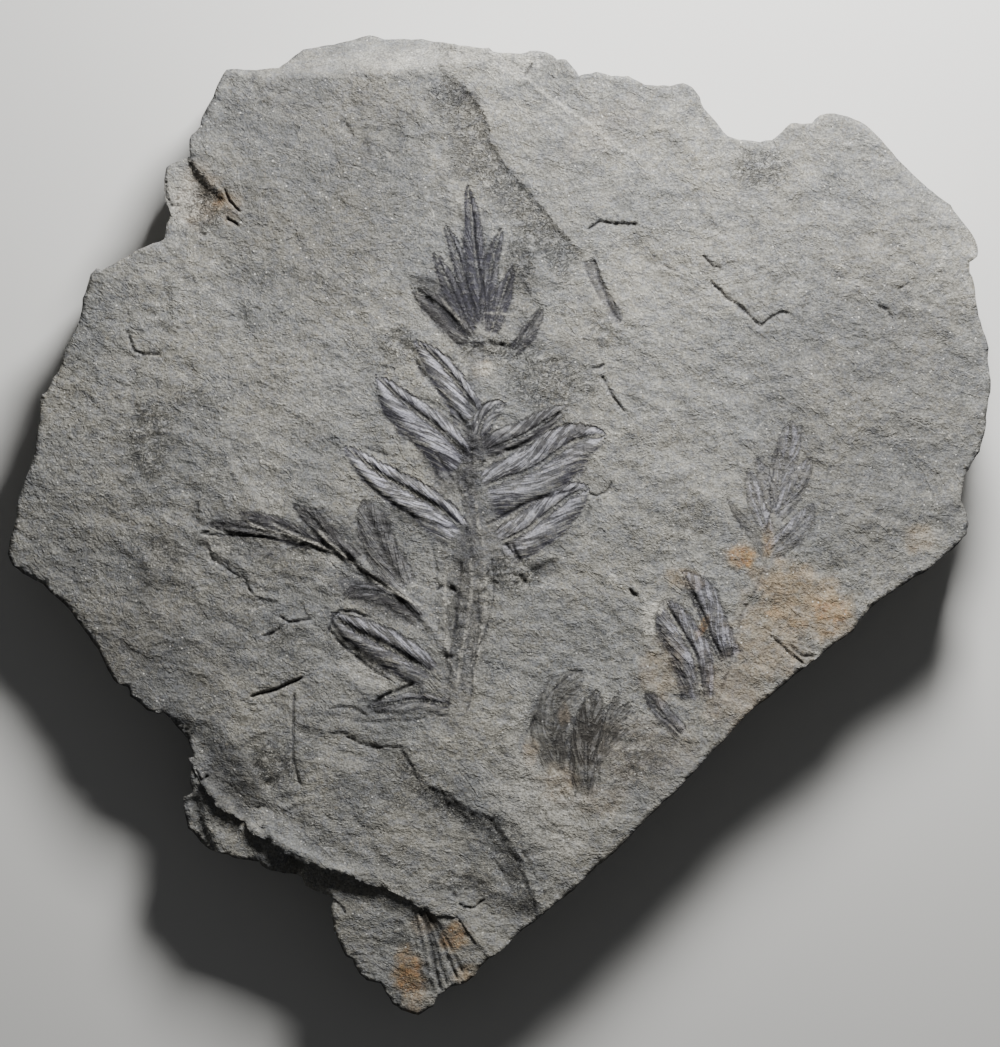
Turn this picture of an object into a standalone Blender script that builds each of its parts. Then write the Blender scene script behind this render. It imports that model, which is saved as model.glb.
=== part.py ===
"""A fossil seed fern: leafy fronds of Mariopteris pressed into one broken piece of grey shale.

The stone lies flat with its fossil face up. Metres, +Z up, origin under the middle of the slab on the
surface that it rests on. The face is laid out on a plan grid: x runs to the right and y down the face,
and one grid step is SLAB_WIDTH / PLAN_WIDTH. Every list of points below is in those steps.
"""

import bmesh
import bpy
import numpy as np
from mathutils import Vector, geometry, noise

MM = 0.001
SLAB_WIDTH = 120.0 * MM
PLAN_WIDTH = 986
PLAN_MIDDLE = (498, 524)
STEP = SLAB_WIDTH / PLAN_WIDTH

# Height of the middle of the fossil face over the surface that the slab rests on.
FACE_LEVEL = 13.9 * MM

# The upper bed falls away gently on both sides of a long crest, and further towards the far left and
# the lower left. A slope is a drop in height for each unit of length on the plan.
CREST = ((420, 40), (480, 125), (581, 255), (640, 420), (700, 640), (720, 760))
RIGHT_SLOPE = 0.022
LEFT_SLOPE = 0.030
FAR_LEFT = -20 * MM
FAR_LEFT_SLOPE = 0.060
LOWER_LEFT_DROP = 0.9 * MM

# Soft lumps of the bedding: their size, height, number of finer layers and seed.
LUMPS = ((34 * MM, 0.55 * MM, 2, 3.1), (7 * MM, 0.20 * MM, 4, 8.4))

# A shallow hollow at the lower left, and the swell of the stone along the edge of the upper bed.
HOLLOW = ((195, 742), (222, 785), (250, 815))
HOLLOW_DEPTH = 0.7 * MM
HOLLOW_WIDTH = 4.5 * MM
EDGE_SWELL = 0.3 * MM
EDGE_SWELL_WIDTH = 2.6 * MM

# Spacing of the modelled points: on the fern, on plain stone and along the broken outline.
FERN_SPACING = 1.4 * MM
STONE_SPACING = 3.1 * MM
OUTLINE_SPACING = 2.4 * MM
MERGE = 0.16 * MM

# Plan width of a broken step and of a bevelled side, and how far the stone is hollowed out under the
# overhanging lower edge where that edge stands UNDERCUT_FULL or more above the bed under it.
BREAK_RUN = 0.45 * MM
BEVEL_RUN = 4.6 * MM
UNDERCUT = 1.4 * MM
UNDERCUT_FULL = 3.0 * MM

# How far the sides lean in, at shares of the height, and how far in the flat underside starts.
SIDE_RINGS = ((0.90, 0.15 * MM), (0.66, 0.7 * MM), (0.40, 0.35 * MM), (0.16, 1.1 * MM))
REST_INSET = 3.4 * MM
LEAN_LUMPS = 5 * MM
LEAN_VARIES = 0.8

# Chips along the broken outline: their length and depth.
CHIP_LENGTH = 3 * MM
CHIP_DEPTH = 0.22 * MM

OUTLINE = (
    (226, 69), (278, 67), (302, 46), (332, 41), (368, 31), (384, 36), (422, 36), (460, 46),
    (489, 48), (493, 52), (521, 54), (530, 51), (538, 51), (547, 53), (557, 60), (566, 60),
    (579, 76), (596, 72), (617, 76), (628, 76), (645, 85), (670, 86), (683, 83), (692, 87),
    (700, 97), (704, 108), (728, 136), (740, 140), (760, 142), (772, 140), (791, 123), (812, 123),
    (820, 115), (834, 113), (848, 116), (860, 121), (870, 128), (916, 176), (952, 204),
    (974, 234), (979, 246), (978, 256), (970, 262), (970, 272), (974, 282), (978, 310), (989, 348),
    (988, 358), (991, 380), (986, 428), (980, 452), (966, 474), (961, 499), (969, 524), (967, 534),
    (952, 550), (928, 570), (897, 588), (880, 600), (859, 621), (853, 631), (791, 678), (742, 720),
    (680, 787), (646, 819), (614, 853), (597, 866), (574, 890), (520, 933), (505, 948), (488, 959),
    (480, 968), (476, 976), (467, 983), (450, 988), (440, 996), (433, 1008), (418, 1017),
    (401, 1012), (392, 1006), (380, 985), (366, 982), (359, 976), (352, 961), (345, 958),
    (333, 932), (330, 910), (333, 900), (304, 888), (300, 881), (265, 870), (258, 863), (236, 860),
    (227, 856), (215, 854), (203, 848), (186, 830), (181, 806), (182, 798), (191, 794), (188, 784),
    (190, 765), (187, 759), (193, 758), (186, 740), (162, 713), (158, 715), (145, 711), (128, 697),
    (126, 688), (115, 684), (109, 676), (96, 650), (70, 614), (40, 584), (20, 574), (10, 566),
    (5, 554), (7, 540), (14, 518), (14, 508), (17, 496), (33, 452), (38, 418), (38, 402),
    (40, 394), (46, 391), (51, 378), (60, 364), (62, 354), (76, 326), (80, 314), (82, 298),
    (90, 274), (96, 268), (102, 270), (136, 250), (164, 239), (166, 224), (170, 214), (166, 204),
    (164, 192), (166, 167), (190, 156), (189, 140), (191, 135), (200, 126), (204, 112),
)

# The upper bed breaks off along this edge, and lower beds come out from under it.
LOWER_EDGE = (
    (182, 756), (193, 774), (200, 781), (210, 798), (217, 810), (234, 817), (244, 822), (247, 833),
    (273, 842), (282, 852), (311, 865), (328, 870), (353, 876), (359, 883), (379, 886), (410, 901),
    (432, 914), (458, 916), (473, 935), (480, 946), (500, 962),
)

# How far the lower beds lie below the edge, at x steps along it, and how steeply they fall away:
# two flakes, a hollow, then the pointed tab. Their lumps are a share of the drop, up to a full height.
LOWER_BEDS = (
    (186, 0.5 * MM, 0.10), (240, 0.6 * MM, 0.10), (268, 0.9 * MM, 0.15), (290, 2.8 * MM, 0.30),
    (306, 2.0 * MM, 0.10), (322, 1.1 * MM, 0.02), (400, 0.7 * MM, 0.02), (440, 0.5 * MM, 0.03),
    (490, 0.4 * MM, 0.04),
)
LOWER_LUMPS = 6 * MM
LOWER_LUMP_SHARE = 0.3
LOWER_LUMP_FULL = 1.0 * MM

# Bevelled sides that show from above: the line where the face ends, and how far the side drops.
BEVELS = (
    (((215, 76), (228, 73), (264, 76), (339, 76), (360, 72), (396, 71), (428, 68), (447, 62),
      (466, 42)), 5.2 * MM),
    (((880, 150), (903, 178), (930, 205), (952, 226), (972, 262)), 2.6 * MM),
)

# Small steps in the bedding: the line of the step, the drop on its right-hand side (below 0 the left
# side is the lower one), and how far beyond the step the lower side takes to come back up. The first
# is the long diagonal ledge, whose upper right side stands higher.
STEPS = (
    (((596, 262), (581, 255), (560, 227), (534, 198), (506, 169), (480, 135), (486, 122),
      (480, 112), (471, 95), (450, 78), (436, 62)), -0.30 * MM, 26 * MM),
    (((700, 225), (681, 201), (638, 161), (611, 146), (589, 124), (553, 101), (523, 80),
      (532, 58)), 0.2 * MM, 7 * MM),
    (((187, 138), (191, 158), (197, 172), (207, 184), (228, 200)), 0.7 * MM, 9 * MM),
    (((197, 795), (200, 815), (208, 838), (220, 860)), 0.5 * MM, 5 * MM),
    (((679, 272), (664, 265), (655, 252), (645, 240), (632, 235), (602, 246)), -0.20 * MM, 6 * MM),
    (((548, 912), (529, 889), (514, 851), (505, 834), (495, 817), (463, 811), (437, 791),
      (420, 771), (400, 741)), -0.9 * MM, 16 * MM),
    (((400, 743), (367, 744), (347, 731), (323, 731), (293, 724)), -0.3 * MM, 6 * MM),
    (((172, 320), (172, 300), (168, 286)), -0.3 * MM, 7 * MM),
    (((388, 585), (358, 570), (337, 553), (316, 547), (274, 541), (232, 536), (198, 534)),
     -0.25 * MM, 5 * MM),
    (((515, 576), (535, 566), (556, 556)), 0.4 * MM, 4 * MM),
    (((496, 345), (470, 343), (455, 344)), -0.25 * MM, 3 * MM),
    (((200, 528), (200, 500), (222, 452), (220, 420)), -0.2 * MM, 10 * MM),
)

# Open cracks and the hollow moulds of thin stems: the line, the depth and the half width.
CRACKS = (
    (((703, 255), (711, 265), (728, 297), (752, 318), (760, 324), (770, 318), (792, 313)),
     0.5 * MM, 0.30 * MM),
    (((587, 231), (600, 222), (619, 224), (638, 224)), 0.55 * MM, 0.30 * MM),
    (((249, 698), (264, 692), (277, 690), (294, 682), (303, 677)), 0.6 * MM, 0.35 * MM),
    (((293, 691), (292, 733), (293, 761), (300, 787)), 0.35 * MM, 0.35 * MM),
    (((590, 262), (600, 292), (615, 319)), 0.4 * MM, 0.7 * MM),
    (((600, 375), (612, 396), (625, 412)), 0.4 * MM, 0.35 * MM),
    (((768, 536), (766, 561), (743, 611), (732, 657), (716, 708)), 0.25 * MM, 0.35 * MM),
    (((420, 905), (428, 945), (440, 990)), 0.9 * MM, 1.0 * MM),
    (((392, 915), (404, 955), (410, 1000)), 0.5 * MM, 0.8 * MM),
    (((447, 925), (458, 950), (462, 975)), 0.5 * MM, 0.7 * MM),
    (((504, 544), (513, 552), (519, 562)), 0.5 * MM, 0.3 * MM),
)

# Stems of the fronds, raised in low relief: the line, the height and the half width.
STEMS = (
    (((480, 330), (474, 380), (472, 455), (470, 530)), 0.20 * MM, 1.2 * MM),
    (((470, 530), (468, 600), (462, 660), (455, 720)), 0.20 * MM, 2.0 * MM),
    (((316, 538), (345, 552), (370, 572), (405, 602), (450, 655)), 0.45 * MM, 0.8 * MM),
)

# Leaflets from tip to base: the midrib, the width of the blade on its left and on its right on the
# way to the base, and the height of its two vaulted halves.
APEX_LEAFLETS = (
    (((467, 183), (474, 240), (479, 293), (484, 328)), 8, 15, 0.42 * MM),
    (((445, 226), (455, 258), (466, 290), (479, 326)), 5, 6, 0.30 * MM),
    (((438, 259), (449, 280), (462, 303), (477, 328)), 8, 8, 0.38 * MM),
    (((409, 294), (430, 298), (449, 316), (470, 338)), 12, 15, 0.40 * MM),
    (((504, 235), (493, 257), (489, 282), (486, 318)), 7, 8, 0.34 * MM),
    (((514, 268), (505, 290), (498, 308), (489, 332)), 9, 8, 0.36 * MM),
    (((541, 312), (530, 329), (516, 345), (500, 352)), 11, 8, 0.32 * MM),
)
LEFT_LEAFLETS = (
    (((412, 338), (436, 357), (458, 379), (477, 410)), 11, 24, 0.50 * MM),
    (((376, 376), (402, 400), (434, 424), (469, 456)), 15, 25, 0.52 * MM),
    (((342, 447), (376, 470), (420, 497), (466, 532)), 19, 21, 0.52 * MM),
    (((331, 616), (362, 636), (400, 654), (450, 676)), 20, 22, 0.52 * MM),
    (((338, 598), (366, 596), (398, 606), (432, 630)), 12, 12, 0.30 * MM),
    (((366, 708), (392, 705), (420, 705), (452, 708)), 10, 11, 0.28 * MM),
)
RIGHT_LEAFLETS = (
    (((506, 404), (494, 410), (485, 422), (478, 436)), 12, 10, 0.34 * MM),
    (((566, 404), (545, 414), (518, 427), (484, 440)), 17, 13, 0.40 * MM),
    (((604, 443), (568, 447), (526, 471), (482, 490)), 32, 24, 0.50 * MM),
    (((592, 488), (562, 503), (533, 524), (490, 545)), 24, 20, 0.46 * MM),
)
PINNA_LOBES = (
    (((206, 523), (250, 528), (300, 540), (345, 556)), 7, 11, 0.26 * MM),
    (((237, 512), (270, 520), (300, 533), (342, 553)), 6, 5, 0.26 * MM),
    (((288, 505), (310, 516), (335, 535), (362, 562)), 10, 8, 0.34 * MM),
    (((360, 501), (371, 530), (385, 560), (405, 592)), 15, 15, 0.30 * MM),
)
SPRIG_LEAFLETS = (
    (((794, 424), (789, 446), (784, 464), (777, 488)), 11, 12, 0.30 * MM),
    (((812, 462), (804, 476), (792, 494), (776, 518)), 9, 10, 0.30 * MM),
    (((748, 478), (754, 497), (760, 515), (767, 534)), 9, 8, 0.30 * MM),
    (((757, 461), (764, 476), (770, 492), (773, 512)), 6, 7, 0.25 * MM),
    (((812, 508), (804, 521), (790, 536), (770, 552)), 10, 10, 0.30 * MM),
    (((727, 500), (742, 520), (756, 540), (766, 558)), 5, 5, 0.22 * MM),
    (((684, 573), (704, 602), (718, 630), (727, 661)), 11, 10, 0.42 * MM),
    (((651, 607), (668, 636), (685, 666), (699, 703)), 9, 10, 0.40 * MM),
    (((668, 603), (686, 626), (702, 654), (711, 692)), 10, 8, 0.38 * MM),
    (((643, 695), (658, 708), (672, 720), (684, 731)), 6, 6, 0.26 * MM),
)
FAN_LOBES = (
    (((562, 674), (549, 706), (556, 742), (582, 776)), 22, 17, 0.24 * MM),
    (((596, 690), (591, 720), (588, 748), (588, 786)), 15, 14, 0.24 * MM),
    (((626, 695), (616, 714), (605, 736), (592, 764)), 11, 12, 0.24 * MM),
)
LEAFLETS = (
    APEX_LEAFLETS + LEFT_LEAFLETS + RIGHT_LEAFLETS + PINNA_LOBES + SPRIG_LEAFLETS + FAN_LOBES
)
MIDRIB_DEPTH = 0.16 * MM
MARGIN_DEPTH = 0.10 * MM
BLADE_RISE = 0.08 * MM

# Where along a leaflet it is widest, as a share of its length from the tip, and how much narrower its
# base is.
WIDEST_AT = 0.58
BASE_NARROWS = 0.4

# Stone round the fern that is modelled as finely as the fern itself: middle and half size.
FINE_REGIONS = (
    ((478, 400), (140, 225)),
    ((330, 590), (150, 135)),
    ((735, 570), (105, 170)),
    ((580, 725), (65, 70)),
)


def place(points):
    """Plan steps to metres, as an array with one row a point."""
    points = np.asarray(points, float)
    return np.stack(
        [(points[:, 0] - PLAN_MIDDLE[0]) * STEP, (PLAN_MIDDLE[1] - points[:, 1]) * STEP], axis=1
    )


def rounded(path, parts=4):
    """A smooth path through the given points, with each stretch divided into parts."""
    ends = np.vstack([2 * path[0] - path[1], path, 2 * path[-1] - path[-2]])
    found = []
    for first, start, end, last in zip(ends, ends[1:], ends[2:], ends[3:]):
        for part in range(parts):
            t = part / parts
            found.append(
                start
                + 0.5 * t * (end - first)
                + t**2 * (first - 2.5 * start + 2 * end - 0.5 * last)
                + t**3 * (1.5 * (start - end) + 0.5 * (last - first))
            )
    return np.array(found + [path[-1]])


def ramp(low, high, value):
    share = np.clip((value - low) / (high - low), 0, 1)
    return share * share * (3 - 2 * share)


def beside(spots, path):
    """For each spot, how far along the path its nearest point is, as a share of the path's length,
    and its distance from the path, positive on the left on the way along it."""
    best = np.full(len(spots), np.inf)
    side = np.zeros(len(spots))
    along = np.zeros(len(spots))
    lengths = np.linalg.norm(np.diff(path, axis=0), axis=1)
    start_at = np.concatenate([[0], np.cumsum(lengths)])
    for start, end, length, so_far in zip(path, path[1:], lengths, start_at):
        way = (end - start) / length
        offset = spots - start
        run = np.clip(offset @ way, 0, length)
        gap = np.linalg.norm(offset - run[:, None] * way, axis=1)
        turn = way[0] * offset[:, 1] - way[1] * offset[:, 0]
        nearer = gap < best - 1e-9
        best = np.where(nearer, gap, best)
        side = np.where(nearer, np.where(turn < 0, -gap, gap), side)
        along = np.where(nearer, (so_far + run) / start_at[-1], along)
    return along, side


def beyond(path, distance):
    """The path moved to its right by a distance."""
    ways = np.gradient(path, axis=0)
    ways /= np.linalg.norm(ways, axis=1)[:, None]
    return path + distance * np.stack([ways[:, 1], -ways[:, 0]], axis=1)


def rough(spots, size, detail, seed):
    """Seeded lumps of a given size, about -1 to 1 high."""
    return np.array(
        [noise.fractal((x / size, y / size, seed), 1.0, 2.0, detail) for x, y in spots]
    )


def half_width(along, widest):
    """Outline of one half of a leaflet: a rounded tip, widest past the middle, narrower at the base."""
    toward = np.clip(1 - along / WIDEST_AT, 0, 1)
    after = np.clip((along - WIDEST_AT) / (1 - WIDEST_AT), 0, 1)
    tip = np.sqrt(1 - toward**2.2)
    return widest * STEP * np.maximum(tip * (1 - BASE_NARROWS * after**2), 0.03)


def leaflet_height(spots, leaflet):
    """Two vaulted halves, with a groove down the midrib between them and a shallow one round them."""
    midrib, left, right, height = leaflet
    along, side = beside(spots, rounded(place(midrib)))
    share = np.abs(side) / np.where(side > 0, half_width(along, left), half_width(along, right))
    inside = np.clip(share, 0, 1)
    vault = height * (4 * inside * (1 - inside)) ** 0.7 * ramp(-0.05, 0.25, along)
    midrib_groove = MIDRIB_DEPTH * np.clip(1 - share / 0.2, 0, 1) * ramp(0, 0.1, along)
    margin = MARGIN_DEPTH * np.clip(1 - np.abs(share - 1) / 0.22, 0, 1)
    return np.where(share < 1, vault + BLADE_RISE, 0) - midrib_groove - margin


def fern_relief(spots):
    """All the leaflets and stems over the bedding."""
    top = np.zeros(len(spots))
    low = np.zeros(len(spots))
    for leaflet in LEAFLETS:
        rise = leaflet_height(spots, leaflet)
        top = np.maximum(top, rise)
        low = np.minimum(low, rise)
    relief = np.where(top > 0, top + 0.5 * low, low)
    for line, height, half in STEMS:
        along, side = beside(spots, rounded(place(line)))
        relief += height * np.clip(1 - (side / half) ** 2, 0, 1) * ramp(0, 0.06, along)
    return relief


def bedding(spots):
    """The broad form of the upper bed: two gently tilted planes, bevels and small steps."""
    x, y = spots[:, 0], spots[:, 1]
    _, off = beside(spots, rounded(place(CREST)))
    level = FACE_LEVEL - np.where(off > 0, RIGHT_SLOPE, LEFT_SLOPE) * np.abs(off)
    level -= FAR_LEFT_SLOPE * np.clip(FAR_LEFT - x, 0, None) * ramp(30 * MM, -20 * MM, y)
    level -= LOWER_LEFT_DROP * ramp(-26 * MM, -58 * MM, y) * ramp(30 * MM, -20 * MM, x)
    for size, height, detail, seed in LUMPS:
        level += height * rough(spots, size, detail, seed)
    _, off = beside(spots, place(HOLLOW))
    level -= HOLLOW_DEPTH * ramp(HOLLOW_WIDTH, 0.1 * HOLLOW_WIDTH, np.abs(off))
    _, off = beside(spots, place(LOWER_EDGE))
    level += EDGE_SWELL * ramp(EDGE_SWELL_WIDTH, 0.1 * EDGE_SWELL_WIDTH, np.abs(off))
    for line, drop, back in STEPS:
        along, off = beside(spots, place(line))
        below = -off if drop > 0 else off
        ends = ramp(0, 0.12, along) * ramp(1, 0.88, along)
        level -= abs(drop) * ends * ramp(0, BREAK_RUN, below) * ramp(back, 2 * BREAK_RUN, below)
    for line, drop in BEVELS:
        along, off = beside(spots, place(line))
        ends = ramp(0, 0.08, along) * ramp(1, 0.92, along)
        level -= drop * ends * np.clip(off / BEVEL_RUN, 0, 1.1)
    return level


def lower_drop(spots):
    """How far the lower beds lie under the level of the upper one at each spot."""
    x, drop, fall = np.transpose(LOWER_BEDS)
    step_x = PLAN_MIDDLE[0] + spots[:, 0] / STEP
    _, off = beside(spots, place(LOWER_EDGE))
    ledge = np.interp(step_x, x, drop) + np.interp(step_x, x, fall) * np.abs(off)
    lumps = LOWER_LUMP_SHARE * np.minimum(ledge, LOWER_LUMP_FULL)
    return ledge + lumps * rough(spots, LOWER_LUMPS, 3, 2.2)


def face_height(spots):
    """Height of the fossil face at each spot."""
    level = bedding(spots)
    along, off = beside(spots, place(LOWER_EDGE))
    is_lower = (off < -0.5 * BREAK_RUN) & (along > 0) & (along < 1)
    top = np.where(is_lower, level - lower_drop(spots), level + fern_relief(spots))
    for line, depth, half in CRACKS:
        _, off = beside(spots, place(line))
        top -= depth * np.clip(1 - np.abs(off) / half, 0, 1)
    return top


def broken_outline():
    """The outline with its longer stretches divided and slightly chipped."""
    corners = place(OUTLINE)
    found = []
    for start, end in zip(corners, np.roll(corners, -1, axis=0)):
        length = np.linalg.norm(end - start)
        parts = max(1, round(length / OUTLINE_SPACING))
        across = np.array([start[1] - end[1], end[0] - start[0]]) / length
        for part in range(parts):
            spot = start + (end - start) * part / parts
            chip = noise.noise((spot[0] / CHIP_LENGTH, spot[1] / CHIP_LENGTH, 0.7)) if part else 0
            found.append(spot + across * chip * CHIP_DEPTH)
    return np.array(found)


def is_inside(rim, spot):
    """Whether a spot lies inside the outline."""
    ends = np.roll(rim, -1, axis=0)
    passes = (rim[:, 1] > spot[1]) != (ends[:, 1] > spot[1])
    rise = np.where(passes, ends[:, 1] - rim[:, 1], 1)
    at = rim[:, 0] + (spot[1] - rim[:, 1]) * (ends[:, 0] - rim[:, 0]) / rise
    return bool(np.count_nonzero(passes & (spot[0] < at)) % 2)


def inside_fine(spot):
    """Whether a spot, in metres, lies in the finely modelled stone round the fern."""
    step_x = PLAN_MIDDLE[0] + spot[0] / STEP
    step_y = PLAN_MIDDLE[1] - spot[1] / STEP
    return any(
        ((step_x - middle[0]) / size[0]) ** 2 + ((step_y - middle[1]) / size[1]) ** 2 < 1
        for middle, size in FINE_REGIONS
    )


def bare_parts(line, leaflet):
    """The stretches of a leaflet's line that no other leaflet covers."""
    own = leaflet_height(line, leaflet)
    covered = np.zeros(len(line), bool)
    for other in LEAFLETS:
        if other is not leaflet:
            covered |= leaflet_height(line, other) > np.maximum(own, 0) + 0.05 * MM
    parts = [[]]
    for spot, hidden in zip(line, covered):
        if hidden:
            parts.append([])
        else:
            parts[-1].append(spot)
    return [np.array(part) for part in parts if part]


def feature_lines():
    """Every line that the face's triangles follow: leaflets, the lower edge, steps and cracks."""
    lines = []
    for leaflet in LEAFLETS:
        midrib, left, right, _ = leaflet
        middle = rounded(place(midrib), 2)
        shares = np.linspace(0, 1, len(middle))
        lines += bare_parts(middle, leaflet)
        to_right = beyond(middle, 1.0) - middle
        for widest, turn in ((left, -1), (right, 1)):
            width = half_width(shares, widest)
            for part in (0.5, 1.0):
                beside_rib = middle + turn * part * width[:, None] * to_right
                lines += bare_parts(beside_rib[1:], leaflet)
    lines.append(place(LOWER_EDGE))
    lines.append(beyond(place(LOWER_EDGE), BREAK_RUN))
    for line, drop, _ in STEPS:
        lines.append(place(line))
        lines.append(beyond(place(line), np.sign(drop) * BREAK_RUN))
    for line, _ in BEVELS:
        lines.append(place(line))
    for line, _, half in CRACKS:
        lines.append(place(line))
        lines.append(beyond(place(line), half))
        lines.append(beyond(place(line), -half))
    return lines


def loose_points(taken):
    """A staggered grid of points over the face, closer on the fern and clear of the lines."""
    reach = 0.52 * SLAB_WIDTH
    row_share = 0.87
    nudge_share = 0.3
    clear_share = 0.55
    found = []
    for spacing, wants_fine in ((FERN_SPACING, True), (STONE_SPACING, False)):
        rows = np.arange(-reach, reach, spacing * row_share)
        for number, y in enumerate(rows):
            for x in np.arange(-reach + (number % 2) * spacing / 2, reach, spacing):
                nudge = [noise.noise((x / MM, y / MM, seed)) for seed in (4.4, 9.1)]
                spot = np.array([x, y]) + nudge_share * spacing * np.array(nudge)
                if inside_fine(spot) != wants_fine:
                    continue
                if np.min(np.linalg.norm(taken - spot, axis=1)) > clear_share * spacing:
                    found.append(spot)
    return found


def crosses(start, end, starts, ends):
    """Whether the stretch from start to end crosses any of the others."""
    way = end - start
    ways = ends - starts
    across = way[0] * ways[:, 1] - way[1] * ways[:, 0]
    across = np.where(np.abs(across) < 1e-16, 1e-16, across)
    gap = starts - start
    mine = (gap[:, 0] * ways[:, 1] - gap[:, 1] * ways[:, 0]) / across
    other = (gap[:, 0] * way[1] - gap[:, 1] * way[0]) / across
    touch = 1e-6
    return bool(np.any((mine > touch) & (mine < 1 - touch) & (other > touch) & (other < 1 - touch)))


def face_plan():
    """Triangles of the face seen from above: their corners, and each triangle's three corners."""
    rim = broken_outline()
    points = list(rim)
    edges = [(number, (number + 1) % len(rim)) for number in range(len(rim))]
    for line in feature_lines():
        last = None
        for spot in line:
            if not is_inside(rim, spot):
                last = None
                continue
            gaps = np.linalg.norm(np.array(points) - spot, axis=1)
            nearest = int(np.argmin(gaps))
            if gaps[nearest] > MERGE:
                nearest = len(points)
                points.append(spot)
            if last is not None and nearest != last:
                taken = np.array(points)
                ends = np.array(edges)
                if not crosses(taken[last], taken[nearest], taken[ends[:, 0]], taken[ends[:, 1]]):
                    edges.append((last, nearest))
            last = nearest
    points += loose_points(np.array(points))
    rim_face = list(range(len(rim)))
    flat = [Vector(spot) for spot in points]
    corners, _, faces, *_ = geometry.delaunay_2d_cdt(flat, edges[len(rim):], [rim_face], 1, 1e-7)
    return np.array([tuple(corner) for corner in corners]), faces


def tuck_in(spots):
    """Plan shift that takes the foot of the lower edge back under it, most where it stands highest."""
    foot = beyond(place(LOWER_EDGE), BREAK_RUN)
    along, off = beside(spots, foot)
    inward = beyond(foot, -1) - foot
    nearest = np.array([np.argmin(np.linalg.norm(foot - spot, axis=1)) for spot in spots])
    amount = UNDERCUT * np.clip(lower_drop(spots) / UNDERCUT_FULL, 0, 1)
    amount *= ramp(0.02, 0.12, along) * ramp(0.98, 0.88, along)
    return np.where(np.abs(off) < 0.02 * MM, amount, 0)[:, None] * inward[nearest]


def lower_ring(shape, rim, top, share, inset):
    """Extrudes the rim down to a share of the height that it had at the top, and leans it in."""
    made = bmesh.ops.extrude_edge_only(shape, edges=rim)["geom"]
    new_rim = [part for part in made if isinstance(part, bmesh.types.BMEdge)]
    new_corners = [part for part in made if isinstance(part, bmesh.types.BMVert)]
    fresh = set(new_corners)
    rim_line = broken_outline()
    started = {}
    for corner in new_corners:
        ends = [edge.other_vert(corner) for edge in corner.link_edges]
        above = next(end for end in ends if end not in fresh)
        started[corner] = top.get(above, above.co.copy())
    for corner in new_corners:
        ends = [edge.other_vert(corner) for edge in corner.link_edges]
        before, after = [end for end in ends if end in fresh]
        way = started[after] - started[before]
        way.z = 0
        across = Vector((way.y, -way.x, 0)).normalized()
        first = started[corner]
        lumps = noise.noise((first.x / LEAN_LUMPS, first.y / LEAN_LUMPS, share * 9))
        lean = inset * (1 + LEAN_VARIES * lumps)
        inward = across if is_inside(rim_line, first + across * 0.2 * MM) else -across
        corner.co = (first.x + inward.x * lean, first.y + inward.y * lean, first.z * share)
    return new_rim, started


def build_slab():
    """The slab as one closed mesh: its face, then the sides in rings, then the flat underside."""
    spots, faces = face_plan()
    heights = face_height(spots)
    spots = spots + tuck_in(spots)
    shape = bmesh.new()
    corners = [shape.verts.new((*spot, z)) for spot, z in zip(spots, heights)]
    for face in faces:
        shape.faces.new([corners[number] for number in face])
    bmesh.ops.recalc_face_normals(shape, faces=shape.faces[:])
    rim = [edge for edge in shape.edges if edge.is_boundary]
    top = {}
    for share, inset in SIDE_RINGS:
        rim, top = lower_ring(shape, rim, top, share, inset)
    rim, top = lower_ring(shape, rim, top, 0.0, REST_INSET)
    bmesh.ops.contextual_create(shape, geom=rim)
    bmesh.ops.triangulate(shape, faces=[face for face in shape.faces if len(face.verts) > 3])
    bmesh.ops.recalc_face_normals(shape, faces=shape.faces[:])
    return shape


def shale():
    """Fine-grained grey shale, dull all over."""
    material = bpy.data.materials.new("shale")
    material.use_nodes = True
    shader = material.node_tree.nodes["Principled BSDF"]
    shader.inputs["Base Color"].default_value = (0.19, 0.19, 0.18, 1)
    shader.inputs["Roughness"].default_value = 0.85
    shader.inputs["Metallic"].default_value = 0.0
    return material


def main():
    for left_over in list(bpy.data.objects):
        bpy.data.objects.remove(left_over)
    mesh = bpy.data.meshes.new("slab")
    shape = build_slab()
    shape.to_mesh(mesh)
    shape.free()
    mesh.materials.append(shale())
    slab = bpy.data.objects.new("slab", mesh)
    bpy.context.collection.objects.link(slab)


main()
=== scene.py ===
import bmesh
import bpy
import numpy as np
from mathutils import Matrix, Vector, noise


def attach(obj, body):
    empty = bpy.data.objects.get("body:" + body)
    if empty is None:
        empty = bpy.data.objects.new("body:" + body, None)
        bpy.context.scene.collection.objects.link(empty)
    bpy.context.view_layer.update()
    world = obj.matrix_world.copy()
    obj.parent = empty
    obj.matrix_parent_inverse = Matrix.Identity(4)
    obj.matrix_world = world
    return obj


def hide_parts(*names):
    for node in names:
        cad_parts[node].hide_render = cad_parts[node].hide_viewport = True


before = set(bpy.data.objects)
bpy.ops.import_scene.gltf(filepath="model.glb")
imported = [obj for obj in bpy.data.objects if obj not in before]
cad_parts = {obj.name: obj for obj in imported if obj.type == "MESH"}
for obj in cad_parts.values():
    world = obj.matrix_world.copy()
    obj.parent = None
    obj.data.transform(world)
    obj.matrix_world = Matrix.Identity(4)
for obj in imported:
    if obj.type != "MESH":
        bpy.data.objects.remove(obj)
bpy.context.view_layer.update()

mm = 0.001
print("frame loaded, the slab's solid is in place")

# Places on the face are given on a plan grid: x runs to the right and y down the face.
plan = {"width": 120 * mm, "steps": 986, "middle": (498, 524)}
step = plan["width"] / plan["steps"]
toLight = np.array((0.32, 0.95))  # the way, seen from above, that the light comes from


def place(points):
    spots = np.asarray(points, float)
    return np.stack([(spots[:, 0] - plan["middle"][0]) * step,
                     (plan["middle"][1] - spots[:, 1]) * step], axis=1)


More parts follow.
